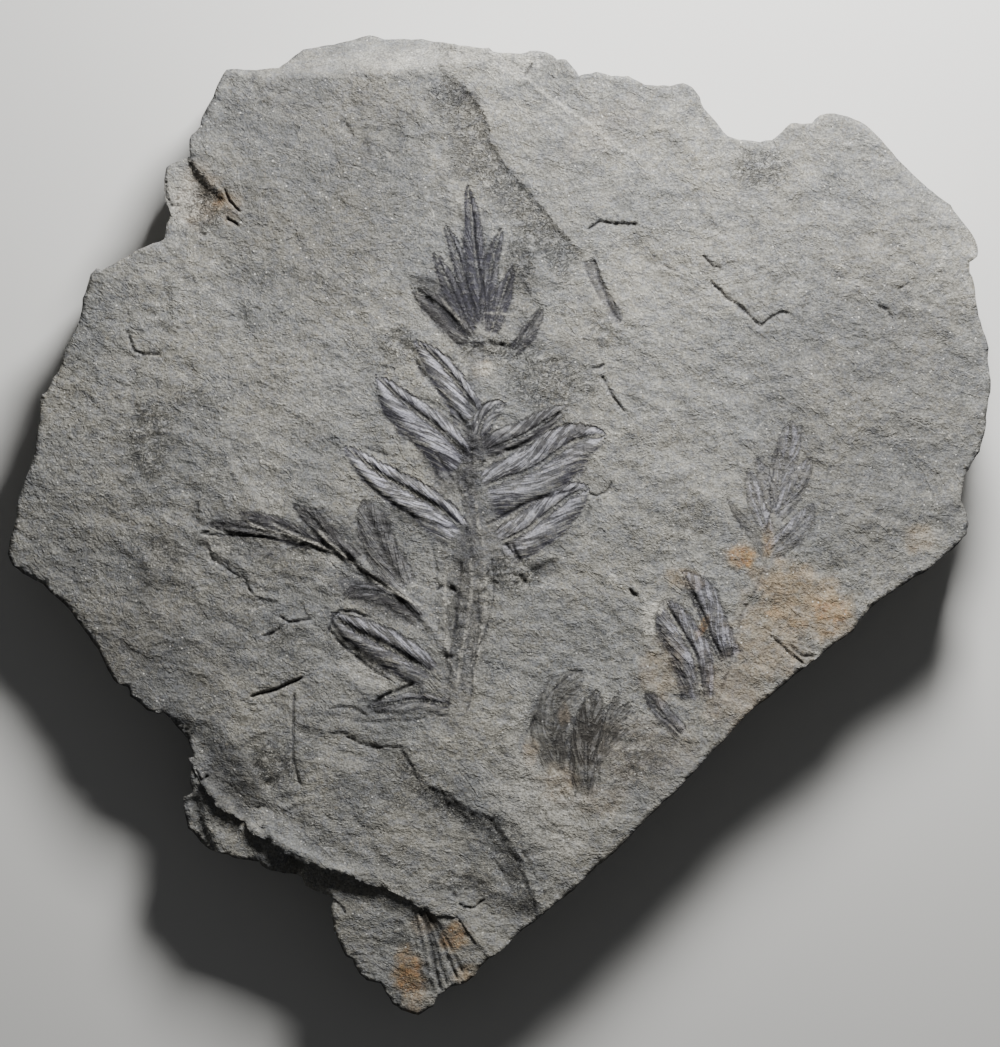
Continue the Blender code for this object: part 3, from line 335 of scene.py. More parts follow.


# Lines cut into the stone or standing on it: the line, its depth in mm (below 0 it stands up), its
# half width in plan steps and how dark it is (below 0 it is pale). The dark is partly carbon and
# partly painted shade in the cut or below a raised edge; the pale is a painted highlight on a raised line.
lines = {
    "cracks": (
        (((710, 279), (715, 287), (728, 298), (738, 304), (746, 313), (754, 321), (761, 325), (773, 316),
          (783, 311), (792, 314)), 0.40, 2.2, 0.9),
        (((587, 231), (600, 222), (619, 224), (638, 224)), 0.45, 2.2, 0.9),
        (((249, 698), (264, 692), (277, 690), (294, 682), (303, 677)), 0.60, 2.6, 1.0),
        (((293, 691), (292, 733), (293, 761), (300, 787)), 0.30, 2.2, 0.8),
        (((586, 266), (592, 284), (601, 300)), 0.14, 1.9, 0.60),
        (((594, 262), (601, 284), (609, 304), (621, 323)), 0.22, 2.4, 0.85),
        (((600, 375), (612, 396), (625, 412)), 0.35, 2.4, 0.9),
        (((590, 369), (598, 368), (605, 364)), 0.35, 2.4, 0.9),
        (((504, 544), (513, 552), (519, 562)), 0.40, 2.0, 0.9),
        (((663, 264), (669, 268), (677, 271)), 0.3, 1.8, 0.8),
        (((629, 589), (633, 594), (638, 596)), 0.5, 2.6, 1.0),
        (((804, 664), (788, 652), (770, 635)), 0.3, 1.8, 0.7),
        (((815, 657), (802, 656), (790, 645)), 0.3, 1.8, 0.7),
        (((877, 306), (887, 310), (895, 322)), 0.3, 2.0, 0.85),
        (((897, 290), (908, 284)), 0.25, 1.8, 0.7),
        (((703, 255), (711, 266), (722, 268)), 0.3, 1.8, 0.85),
        (((126, 329), (130, 340), (133, 350), (144, 355), (160, 354)), 0.3, 1.8, 0.8),
        (((278, 616), (288, 623), (303, 621), (311, 619)), 0.35, 1.9, 0.9),
        (((262, 636), (270, 634), (280, 628)), 0.3, 1.8, 0.7),
        (((458, 904), (472, 909), (479, 904), (485, 900)), 0.3, 1.8, 0.9),
        (((448, 889), (457, 898)), 0.2, 1.4, 0.7),
        (scarp[3:], 0.08, 1.4, 0.40), (ledge[:9], 0.05, 1.3, 0.12),
        (((462, 806), (480, 812), (492, 822), (505, 846), (516, 862), (528, 888)), 0.07, 1.4, 0.35),
        (((440, 792), (455, 808), (470, 822), (476, 836)), 0.10, 1.5, 0.4),
        (((470, 838), (490, 850), (503, 872), (512, 892)), 0.10, 1.4, 0.4),
        (((520, 848), (534, 872), (543, 894)), 0.12, 1.4, 0.4),
        (((352, 76), (353, 90), (352, 110)), 0.05, 1.3, 0.28), (((366, 80), (368, 100), (372, 120)), 0.05, 1.3, 0.35),
        (((336, 145), (335, 160), (336, 172)), 0.05, 1.3, 0.25), (((331, 164), (330, 178), (331, 190)), 0.06, 1.4, 0.30),
        (((332, 196), (345, 190), (360, 182)), 0.06, 1.4, 0.40), (((344, 120), (350, 130), (354, 136)), 0.20, 1.9, 0.60),
        (((364, 140), (367, 150), (370, 164)), 0.08, 1.8, 0.45), (((367, 192), (372, 182), (378, 172)), 0.06, 1.6, 0.35),
        (((373, 122), (380, 122), (376, 130)), 0.10, 1.5, 0.45),
        (((205, 541), (211, 560), (228, 570), (245, 580), (247, 592)), 0.16, 1.5, 0.55),
        (((200, 530), (199, 510), (203, 494)), -0.05, 1.6, -0.3), (((227, 474), (232, 492), (238, 506)), -0.06, 1.8, -0.3),
        (((262, 488), (276, 496), (286, 514)), -0.06, 2.0, -0.3), (((282, 540), (270, 556), (250, 566)), 0.06, 2.6, 0.30),
        (((224, 188), (228, 200), (240, 212)), 0.4, 2.2, 0.9),
        (((225, 218), (238, 226)), 0.4, 2.2, 0.9),
        (((199, 232), (205, 235)), 0.3, 2.0, 0.8),
        (((165, 180), (166, 195), (172, 205), (180, 206)), 0.3, 1.8, 0.7),
        (((350, 957), (375, 957)), 0.12, 1.4, 0.3),
        (((333, 900), (339, 906), (345, 915)), 0.25, 1.6, 0.6),
        (((194, 771), (200, 781), (207, 777)), 0.4, 2.2, 0.9),
        (((342, 735), (359, 744), (375, 749), (390, 747), (400, 748), (410, 766), (421, 785)),
         0.22, 1.9, 0.55),
        (((532, 63), (524, 76)), 0.35, 2.4, 0.9),
        (((589, 494), (597, 495), (606, 492), (612, 482)), 0.25, 1.8, 0.8),
        (((246, 589), (253, 597), (278, 603)), 0.2, 1.8, 0.6),
        (((325, 640), (333, 618), (339, 611), (354, 613), (369, 618)), 0.25, 2.4, 0.8),
        (((200, 534), (208, 531)), 0.3, 2.0, 0.8),
        (((392, 692), (373, 704)), 0.4, 4.0, 0.8),
        (((413, 684), (394, 693)), 0.3, 4.0, 0.6),
        (((330, 708), (352, 708), (366, 716)), 0.2, 2.5, 0.4),
        (((463, 96), (474, 94), (480, 103)), 0.15, 4.0, 0.5),
    ),
    # dark lines of the fern itself, some of them painted shadows along the lower side of raised lamina
    "creases": (
        (((197, 534), (232, 535), (262, 537), (289, 542), (316, 548), (345, 557), (361, 571),
          (386, 585)), 0.26, 2.8, 1.0),
        (((493, 449), (515, 448), (533, 438), (548, 424), (561, 411)), 0.28, 4.0, 0.75),
        (((483, 527), (506, 514), (533, 501), (552, 496), (578, 488)), 0.24, 3.0, 0.9),
        (((478, 424), (480, 411), (487, 403), (496, 401), (507, 409)), 0.16, 2.0, 0.6),
        (((411, 346), (417, 364), (430, 383), (441, 394), (456, 412), (467, 425)), 0.25, 3.0, 0.9),
        (((455, 414), (466, 427), (472, 430), (479, 415)), 0.25, 4.0, 0.8),
        (((408, 394), (434, 405), (456, 421), (471, 440)), 0.16, 2.2, 0.6),
        (((363, 448), (382, 453), (397, 457)), 0.16, 2.4, 0.8),
        (((359, 473), (378, 494), (394, 504), (411, 516), (436, 525), (458, 529)), 0.16, 2.6, 0.8),
        (((434, 453), (448, 472), (461, 494)), 0.16, 2.4, 0.7),
        (((777, 454), (770, 489), (771, 500), (766, 532)), 0.10, 1.8, 0.9),
        (((785, 425), (780, 440), (776, 461)), 0.06, 1.8, 0.70),
        (((802, 425), (801, 440), (797, 458)), 0.06, 1.8, 0.75),
        (((811, 463), (808, 478), (801, 492), (789, 503)), 0.06, 1.5, 0.60),
        (((747, 470), (748, 486), (754, 508), (764, 530)), 0.05, 1.4, 0.45),
        (((813, 507), (809, 523), (798, 540), (784, 548)), 0.05, 1.4, 0.50),
        (((793, 519), (786, 526), (780, 535)), 0.05, 1.4, 0.50),
        (((726, 497), (738, 519), (749, 533)), 0.06, 1.5, 0.65),
        (((684, 575), (692, 592), (701, 611), (713, 640), (723, 660)), 0.16, 2.4, 0.95),
        (((656, 623), (665, 640), (676, 660), (683, 677), (694, 702)), 0.10, 1.6, 0.6),
        (((666, 605), (684, 633), (698, 656), (705, 678), (704, 688)), 0.10, 2.0, 0.75),
        (((626, 757), (632, 768), (638, 779)), 0.10, 1.8, 0.5),
        (((585, 669), (571, 675), (561, 683), (551, 693), (541, 706), (534, 720), (525, 737)),
         0.12, 2.2, 0.75),
        (((606, 711), (610, 697), (616, 692), (624, 692), (631, 697), (634, 705)), 0.10, 1.8, 0.65),
        (((607, 712), (601, 728), (598, 746), (592, 762)), 0.10, 1.8, 0.6),
        (((572, 716), (571, 732), (565, 748)), 0.10, 2.0, 0.6),
        (((594, 761), (589, 794)), 0.10, 2.4, 0.5),
        (((326, 626), (337, 640), (354, 655), (371, 669), (392, 682)), 0.16, 2.4, 0.7),
        (((768, 536), (766, 561), (752, 598), (743, 611), (737, 633), (732, 657), (716, 708)),
         0.14, 2.6, 0.5),
        (((335, 716), (360, 722), (390, 722), (449, 716)), 0.14, 2.6, 0.4),
        (((515, 542), (548, 538), (570, 533), (586, 518), (588, 500)), 0.10, 2.0, 0.5),
        (((583, 420), (598, 430), (601, 442)), 0.12, 2.0, 0.6),
        (((436, 591), (443, 587), (452, 588), (457, 592)), 0.40, 4.0, 1.0),
        (((437, 560), (436, 600), (438, 640)), 0.14, 2.0, 0.5),
        (((462, 556), (459, 600), (453, 640), (448, 690)), 0.14, 2.6, 0.80),
        (((447, 604), (452, 640), (460, 664), (462, 692)), 0.08, 1.7, 0.40),
        (((492, 556), (494, 590), (486, 630), (470, 664)), 0.12, 2.4, 0.70),
        (((478, 610), (472, 650), (472, 690), (466, 716)), 0.12, 2.4, 0.65),
        (((454, 470), (462, 500), (466, 530), (472, 556)), 0.10, 2.2, 0.5),
        (((478, 590), (479, 620), (474, 668)), 0.14, 1.8, 0.6),
        (((455, 344), (470, 343), (496, 344), (518, 351)), 0.16, 2.4, 0.8),
        (((409, 284), (430, 282), (447, 290)), 0.12, 2.2, 0.6),
        (((424, 296), (440, 310), (455, 325), (464, 336)), 0.12, 7.5, 0.85),
        (((468, 190), (473, 215), (477, 250), (483, 290), (488, 330)), 0.12, 2.6, 1.0),
        (((458, 204), (461, 216), (464, 226)), 0.06, 1.5, 0.4), (((482, 206), (484, 222), (486, 236)), 0.05, 1.5, 0.3),
        (((497, 262), (501, 248), (503, 236)), 0.08, 1.8, 0.8), (((452, 272), (460, 290), (468, 312)), 0.08, 2.6, 0.6),
        (((446, 226), (454, 244), (462, 268), (470, 296)), 0.08, 1.8, 0.6),
        (((513, 268), (507, 288), (500, 306)), 0.08, 2.2, 0.7),
        (((508, 349), (526, 330), (541, 312)), 0.16, 2.6, 0.9),
        (((516, 270), (527, 290), (530, 300)), 0.14, 4.0, 0.5),
        (((440, 200), (455, 204), (460, 220)), 0.10, 1.8, 0.5),
        (((432, 543), (438, 575)), 0.10, 2.0, 0.4),
        (((511, 544), (516, 552), (522, 562)), 0.3, 2.0, 0.9),
        (((485, 460), (478, 468), (470, 462)), 0.2, 2.4, 0.7),
        (((469, 440), (472, 460), (468, 490), (461, 494)), 0.16, 2.4, 0.7),
    ),
    # bright ridges, their pale colour a painted highlight on the side facing the light
    "ridges": (
        (((523, 77), (545, 94), (567, 109), (596, 131), (620, 147), (645, 163)), -0.12, 2.4, -0.5),
        (((640, 264), (661, 269), (676, 273), (698, 271)), -0.06, 1.6, -0.35),
        (((440, 298), (452, 311), (463, 324)), -0.10, 1.8, -0.5),
        (((483, 314), (500, 313), (521, 316)), -0.08, 1.5, -0.5),
        (((478, 405), (473, 413), (466, 418), (460, 412)), -0.12, 2.2, 0.0),
        (((240, 515), (261, 529), (289, 537), (317, 549)), -0.08, 1.9, -0.6),
        (((252, 533), (276, 538), (303, 543)), -0.06, 1.3, -0.35),
        (((272, 522), (285, 532), (306, 541), (328, 550), (340, 556)), -0.12, 2.6, -0.75),
        (((315, 529), (334, 548), (355, 564), (374, 579), (393, 590), (421, 606)), -0.12, 2.8, -0.72),
        (((353, 521), (362, 540), (374, 560), (387, 574)), -0.05, 1.4, -0.3),
        (((366, 536), (380, 540), (394, 543)), -0.05, 1.3, -0.3),
        (((418, 920), (424, 950), (430, 985)), -0.25, 4.0, 0.0),
        (((500, 430), (514, 434), (530, 430)), -0.16, 5.0, 0.0),
        (((505, 574), (525, 576), (545, 580)), -0.20, 5.0, 0.0),
        (((440, 602), (446, 600), (450, 606)), -0.16, 5.0, 0.0),
        (((456, 190), (461, 210), (464, 230)), -0.10, 4.0, 0.0),
        (((471, 556), (470, 600), (464, 640), (456, 690)), -0.12, 2.4, -0.65),
        (((484, 560), (486, 600), (478, 650), (474, 690)), -0.12, 2.2, -0.55),
        (((446, 560), (444, 600), (448, 650), (456, 680)), -0.10, 2.2, -0.50),
        (((476, 500), (478, 524), (484, 548)), -0.10, 2.0, -0.50),
    ),
    "tabGrooves": (
        (((414, 914), (422, 945), (432, 994)), 0.22, 2.0, 0.40),
        (((419, 910), (430, 945), (440, 993)), 0.36, 2.4, 0.62),
        (((421, 909), (434, 943), (447, 988)), 0.22, 1.8, 0.60),
        (((423, 908), (440, 940), (457, 981)), 0.34, 2.6, 0.60),
        (((425, 908), (445, 938), (463, 976)), 0.20, 1.6, 0.40),
        (((411, 917), (416, 950), (423, 996)), 0.14, 1.6, 0.25),
    ),
}


# Stains and marks on the stone, some of them painted shade and painted light: middle, half size,
# turn in degrees, strength.
stainsAndPaintedLight = {
    "rust": (
        ((742, 556), (18, 14), 0, 1.0), ((800, 600), (56, 36), -28, 0.62), ((702, 628), (5, 15), -28, 1.0),
        ((835, 615), (20, 20), 0, 0.6), ((770, 640), (45, 34), -35, 0.40), ((730, 690), (40, 40), -40, 0.35),
        ((920, 538), (17, 15), 0, 0.55), ((558, 784), (24, 24), 0, 0.40), ((532, 752), (9, 16), 0, 0.40),
        ((660, 670), (24, 34), 0, 0.35), ((685, 580), (26, 10), -10, 0.45), ((600, 800), (30, 16), 0, 0.22),
        ((410, 980), (18, 36), 10, 0.9), ((454, 938), (15, 16), 0, 0.85), ((465, 975), (18, 10), 20, 0.6),
        ((425, 925), (14, 12), 0, 0.4), ((200, 196), (26, 34), 0, 0.34), ((222, 196), (9, 16), -35, 0.55), ((484, 369), (12, 9), 0, 0.35),
        ((640, 750), (60, 40), 0, 0.18), ((230, 205), (14, 18), 0, 0.35), ((600, 130), (60, 22), 35, 0.10),
        ((563, 715), (8, 12), 0, 0.5), ((768, 540), (8, 16), 0, 0.8),
    ),
    # film where no single leaflet can be made out; a few strips below the rachis and the lowest leaflets
    # are painted shade
    "filmAndPaintedShade": (
        ((480, 300), (24, 32), 4, 0.50), ((450, 306), (30, 20), -40, 0.45), ((476, 262), (17, 44), 2, 0.42),
        ((458, 300), (22, 24), -30, 0.34), ((497, 298), (16, 26), 15, 0.30),  ((500, 324), (26, 16), 0, 0.16),
        ((478, 236), (14, 30), 0, 0.16), ((528, 336), (20, 12), 30, 0.30), ((262, 524), (56, 11), -10, 0.34), ((262, 553), (34, 6), 4, 0.32),
        ((320, 526), (24, 16), -30, 0.40), ((376, 536), (20, 34), -20, 0.40), ((386, 566), (18, 26), -40, 0.35),
        ((372, 600), (50, 14), -28, 0.40), ((484, 448), (26, 18), 0, 0.50), ((474, 484), (14, 36), 0, 0.30),
        ((478, 548), (30, 30), 0, 0.32), ((462, 640), (26, 60), 0, 0.10), ((778, 480), (20, 40), 8, 0.12),
        ((784, 524), (24, 22), 30, 0.14), ((750, 510), (12, 30), -30, 0.22), ((572, 726), (38, 46), 0, 0.22),
        ((586, 744), (14, 40), -8, 0.30), ((556, 754), (20, 22), 30, 0.32), ((545, 440), (60, 40), 15, 0.14), ((500, 510), (24, 13), 25, 0.45),
        ((545, 520), (50, 34), 20, 0.12), ((572, 474), (18, 12), 0, 0.30), ((407, 428), (34, 12), -42, 0.30), ((446, 472), (26, 20), -50, 0.45),
        ((380, 716), (50, 10), 0, 0.18), ((662, 764), (28, 8), -8, 0.25), ((412, 404), (20, 6), -42, 0.35),
    ),
    # darker patches: some dark stone, and broad painted shade where the surface turns from the light, under ledges and
    # beside raised parts
    "darkAndPaintedShade": (
        ((320, 180), (130, 150), 0, 0.33), ((870, 410), (130, 170), 0, 0.30),
        ((850, 220), (90, 60), 0, 0.08), ((232, 768), (34, 34), 0, 0.24),
        ((150, 680), (90, 90), 0, 0.25), ((110, 600), (90, 100), 0, 0.14), ((120, 560), (130, 150), 0, 0.10), ((290, 560), (120, 90), 0, 0.08),
        ((452, 300), (40, 26), -35, 0.35), ((470, 97), (12, 9), -40, 0.5), ((456, 90), (14, 10), -20, 0.22), ((523, 268), (16, 34), 15, 0.38), ((424, 284), (17, 9), -30, 0.38),
        ((478, 168), (36, 8), 5, 0.24), ((466, 612), (18, 62), 0, 0.16), ((520, 316), (18, 24), 0, 0.18),
        ((420, 415), (40, 14), -42, 0.35), ((410, 520), (16, 7), -10, 0.5), ((462, 440), (16, 16), 0, 0.35),
        ((490, 445), (24, 12), 10, 0.45), ((540, 568), (16, 10), -20, 0.6), ((460, 560), (24, 30), 0, 0.25),
        ((500, 560), (12, 22), 0, 0.35), ((362, 100), (8, 18), 0, 0.30), ((366, 150), (8, 30), 0, 0.30),
        ((338, 168), (7, 22), 10, 0.20), ((220, 800), (20, 40), 30, 0.25), ((235, 780), (30, 44), 30, 0.30),
        ((370, 595), (40, 14), -25, 0.35), ((350, 535), (14, 26), 10, 0.3), ((584, 300), (8, 14), 20, 0.25),
        ((300, 745), (16, 24), 0, 0.15), ((200, 165), (10, 18), 0, 0.2), ((463, 470), (10, 24), 15, 0.35),
        ((490, 505), (20, 12), 30, 0.3), ((480, 535), (26, 10), 0, 0.3), ((575, 735), (26, 34), 0, 0.25),
        ((380, 705), (14, 6), -25, 0.5), ((655, 215), (20, 6), 0, 0.12), ((560, 345), (40, 10), 0, 0.25),
    ),
    # paler patches: pale scars and specks, and painted light on facets and ridges that face the light
    "paleAndPaintedLight": (
        ((540, 810), (66, 44), -48, 0.46), ((648, 620), (8, 20), 5, 0.9), ((656, 609), (7, 7), 0, 0.9),
        ((612, 579), (5, 4), 0, 0.8),
        ((485, 369), (12, 7), 0, 0.55), ((518, 715), (8, 26), 0, 0.35), ((700, 690), (10, 6), 0, 0.4),
        ((588, 255), (9, 5), 0, 0.4), ((183, 200), (18, 30), 0, 0.62), ((420, 57), (120, 15), 4, 0.35), ((512, 68), (34, 14), 8, 0.45), ((320, 400), (60, 34), 40, 0.16), ((262, 440), (46, 20), 50, 0.14),
        ((160, 555), (20, 12), 40, 0.25), ((218, 550), (15, 13), -10, 0.62),
        ((336, 560), (10, 7), 0, 0.45), ((360, 665), (30, 12), -35, 0.30), ((520, 576), (18, 6), -10, 0.35),
        ((446, 602), (6, 7), 0, 0.6), ((481, 585), (5, 8), 0, 0.45), ((664, 598), (5, 10), 0, 0.5),
        ((580, 108), (50, 6), 38, 0.12), ((418, 1000), (14, 10), 0, 0.45), ((476, 640), (8, 22), 0, 0.3),
        ((510, 742), (6, 8), 0, 0.5), ((690, 535), (6, 10), 20, 0.35), ((640, 745), (14, 5), 20, 0.2),
        ((475, 665), (10, 16), 0, 0.2), ((930, 393), (2, 2), 0, 0.9), ((925, 535), (20, 16), 0, 0.30), ((950, 436), (2, 2), 0, 0.9),
        ((968, 345), (2, 2), 0, 0.9), ((898, 521), (3, 2), 0, 0.9),
    ),
}


# what every point of the stone carries for the material
markNames = ("filmAndPaintedShade", "glossAndPaintedSheen", "brown", "darkAndPaintedShade", "rust", "paleAndPaintedLight", "veinAlong", "veinAcross", "veinDepth",
             "crumple", "side")


camera = {"lens": 180.0, "picture": (1000, 1047), "middle": (500.0, 523.5), "focusLevel": 13.4 * mm}
light = {"from": (0.055, 0.165, 0.125), "at": (0.0, 0.0, 0.01), "size": 0.06, "watts": 1.16,
         "world": 0.07, "floor": 0.8}


def hexColour(text):
    values = [int(text[i:i + 2], 16) / 255 for i in (1, 3, 5)]
    return (*[v / 12.92 if v <= 0.04045 else ((v + 0.055) / 1.055) ** 2.4 for v in values], 1.0)


def addNode(tree, kind, settings=None, inputs=None):
    # one node; an input is a value or the socket that feeds it
    node = tree.nodes.new("ShaderNode" + kind)
    for name, value in (settings or {}).items():
        setattr(node, name, value)
    for name, value in (inputs or {}).items():
        if isinstance(value, bpy.types.NodeSocket):
            tree.links.new(value, node.inputs[name])
        else:
            node.inputs[name].default_value = value
    return node


def setTheStage():
    view = bpy.data.cameras.new("camera")
    view.lens, view.clip_start, view.clip_end = camera["lens"], 0.01, 10
    longSide = camera["picture"][1] * step
    eye = bpy.data.objects.new("camera", view)
    spot = place([camera["middle"]])[0]
    eye.location = (*spot, camera["focusLevel"] + longSide * view.lens / view.sensor_width)
    bpy.context.scene.collection.objects.link(eye)
    bpy.context.scene.camera = eye
    lamp = bpy.data.lights.new("window", "AREA")
    lamp.energy, lamp.size = light["watts"], light["size"]
    window = bpy.data.objects.new("window", lamp)
    window.location = light["from"]
    window.visible_camera = False
    way = Vector(light["at"]) - Vector(light["from"])
    window.rotation_euler = way.to_track_quat("-Z", "Y").to_euler()
    bpy.context.scene.collection.objects.link(window)
    world = bpy.data.worlds.new("room")
    world.use_nodes = True
    world.node_tree.nodes["Background"].inputs["Color"].default_value = hexColour("#f4f6fa")
    world.node_tree.nodes["Background"].inputs["Strength"].default_value = light["world"]
    bpy.context.scene.world = world
    shape = bmesh.new()
    bmesh.ops.create_grid(shape, x_segments=2, y_segments=2, size=light["floor"])
    mesh = bpy.data.meshes.new("floor")
    shape.to_mesh(mesh)
    shape.free()
    paper = bpy.data.materials.new("pale card")
    paper.use_nodes = True
    paper.node_tree.nodes["Principled BSDF"].inputs["Base Color"].default_value = hexColour("#d9d8d4")
    paper.node_tree.nodes["Principled BSDF"].inputs["Roughness"].default_value = 0.9
    mesh.materials.append(paper)
    floor = bpy.data.objects.new("floor", mesh)
    bpy.context.scene.collection.objects.link(floor)
    print("camera, window light and floor made")


def leaflets():
    for group in ("fan", "lowerRight", "sprig", "pinna", "lowerLeft", "right", "left", "apex"):
        for leaflet in fern[group]:
            yield (*leaflet, fern["forms"][group])


def allLines():
    for group in lines.values():
        for line in group:
            yield line


def spacingMap():
    # wanted spacing of the points over the face, on a grid of cells
    cell = 0.25 * mm
    count = int(124 * mm / cell)
    ticks = (np.arange(count) - count / 2) * cell
    spots = np.stack(np.meshgrid(ticks, ticks, indexing="ij"), axis=-1).reshape(-1, 2)
    wanted = np.full(len(spots), slab["coarse"])
    for middle, size, height, *_ in slab["crumpled"]:
        if height < slab["shallow"]:
            continue
        way = (spots - place([middle])[0]) / (np.array(size) * step)
        wanted[np.sum(way**2, axis=1) < 1] = slab["crumpledSpacing"]
    for path in [slab["lowerEdge"]] + [row[0] for row in slab["steps"] + slab["bevels"]]:
        path = place(path)
        index = nearby(spots, path, 1.2 * mm)
        _, side = beside(spots[index], path)
        wanted[index] = np.where(np.abs(side) < 0.8 * mm, np.minimum(wanted[index], slab["medium"]),
                                 wanted[index])
    for midrib, left, right, *_ in leaflets():
        path = smoothPath(midrib)
        index = nearby(spots, path, max(left, right) * step)
        along, side = beside(spots[index], path)
        blade = np.where(side > 0, left, right) * step + 0.25 * mm
        wanted[index] = np.where(np.abs(side) < blade, np.minimum(wanted[index], slab["fine"]),
                                 wanted[index])
    for path, _, half, _ in allLines():
        path = smoothPath(path)
        index = nearby(spots, path, 1.2 * mm)
        _, side = beside(spots[index], path)
        wanted[index] = np.where(np.abs(side) < half * step + 0.16 * mm,
                                 np.minimum(wanted[index], slab["finest"]), wanted[index])
    return wanted.reshape(count, count), cell


def wantedAt(spots, spacing):
    table, cell = spacing
    index = np.clip((spots / cell + len(table) / 2).astype(int), 0, len(table) - 1)
    return table[index[:, 0], index[:, 1]]


def edgeTable(edges):
    starts = np.array([edge.verts[0].co[:] for edge in edges])
    ends = np.array([edge.verts[1].co[:] for edge in edges])
    return starts, ends, np.linalg.norm(ends - starts, axis=1)


def refine(shape, limits, rounds):
    # halves the long edges until none is over its limit
    for _ in range(rounds):
        listed = shape.edges[:]
        starts, ends, lengths = edgeTable(listed)
        longOnes = [listed[number] for number in np.nonzero(lengths > limits((starts + ends) / 2))[0]]
        if not longOnes:
            return
        bmesh.ops.subdivide_edges(shape, edges=longOnes, cuts=1)
        bmesh.ops.triangulate(shape, faces=[face for face in shape.faces if len(face.verts) > 3])


def chipped(corners):
    # the outline divided to the rim's spacing, with small chips
    found, kept = [], []
    for start, end in zip(corners, np.roll(corners, -1, axis=0)):
        length = np.linalg.norm(end - start)
        parts = max(1, int(round(length / slab["rimSpacing"])))
        across = np.array([start[1] - end[1], end[0] - start[0]]) / length
        for part in range(parts):
            spot = start + (end - start) * part / parts
            if part:
                chip = 0.20 * noise.noise((spot[0] / (3 * mm), spot[1] / (3 * mm), 0.7))
                chip += 0.10 * noise.noise((spot[0] / (0.9 * mm), spot[1] / (0.9 * mm), 2.7))
                spot = np.clip(spot + across * chip * mm, -plan["width"] / 2, plan["width"] / 2)
            found.append(spot)
            kept.append(part == 0)
    return found, kept


def flatPlan(spacing):
    # the face laid flat: one broken outline, split along the lower edge, diced and refined
    corners = place(slab["outline"])
    rim, kept = chipped(corners)
    shape = bmesh.new()
    bed = shape.faces.layers.int.new("bed")
    layers = {name: shape.verts.layers.float.new(name) for name in markNames}
    ring = [shape.verts.new((*spot, 0)) for spot in rim]
    whole = shape.faces.new(ring[::-1])
    named = [vert for vert, isCorner in zip(ring, kept) if isCorner]
    lip = place(slab["lowerEdge"])
    foot = moved(lip, slab["breakRun"])
    ends = [named[slab["outline"].index(slab["lowerEdge"][i])] for i in (0, -1)]
    footEnds = [named[slab["outline"].index(spot)] for spot in slab["lowerEdgeFoot"]]
    path = [(*spot, 0) for spot in lip[1:-1]]
    lower, _ = bmesh.utils.face_split(whole, ends[0], ends[1], coords=path)
    pieces = [lower, whole]
    lower = next(face for face in pieces if footEnds[0] in face.verts)
    lower[bed] = 2
    path = [(*spot, 0) for spot in foot[2:-1]]
    made, _ = bmesh.utils.face_split(lower, footEnds[0], footEnds[1], coords=path)
    strip = next(face for face in (made, lower) if ends[0] in face.verts and ends[1] in face.verts)
    strip[bed] = 1
    for axis in (0, 1):
        for at in np.arange(-60 * mm, 60 * mm, slab["dice"]):
            plane = Vector((at, 0, 0)) if axis == 0 else Vector((0, at, 0))
            bmesh.ops.bisect_plane(shape, geom=shape.verts[:] + shape.edges[:] + shape.faces[:],
                                   dist=1e-7, plane_co=plane, plane_no=plane.normalized()
                                   if plane.length else Vector((1 - axis, axis, 0)))
    bmesh.ops.triangulate(shape, faces=shape.faces[:])
    refine(shape, lambda spots: 1.35 * wantedAt(spots[:, :2], spacing), 9)
    free = [vert for vert in shape.verts
            if not vert.is_boundary and len({face[bed] for face in vert.link_faces}) == 1]
    for _ in range(4):
        bmesh.ops.smooth_vert(shape, verts=free, factor=0.5, use_axis_x=True, use_axis_y=True)
    print("plan laid out:", len(shape.faces), "triangles")
    return shape, bed, layers


def bladeHalf(along, widest, base, blunt):
    # from a sharp or blunt tip to the widest place, then narrower or wider towards the base
    toward = np.clip(1 - along / 0.55, 0, 1)
    after = np.clip((along - 0.55) / 0.45, 0, 1)
    return widest * step * np.maximum((1 - toward**blunt) ** 0.75 * (1 + (base - 1) * after**2), 0.03)


def hump(share, crest):
    # rises gently to the crest, then falls steeply
    up = np.clip(share / crest, 0, 1)
    down = np.clip((share - crest) / (1 - crest), 0, 1)
    return (3 - 2 * up) * up**2 * np.cos(down * np.pi / 2) ** 0.9


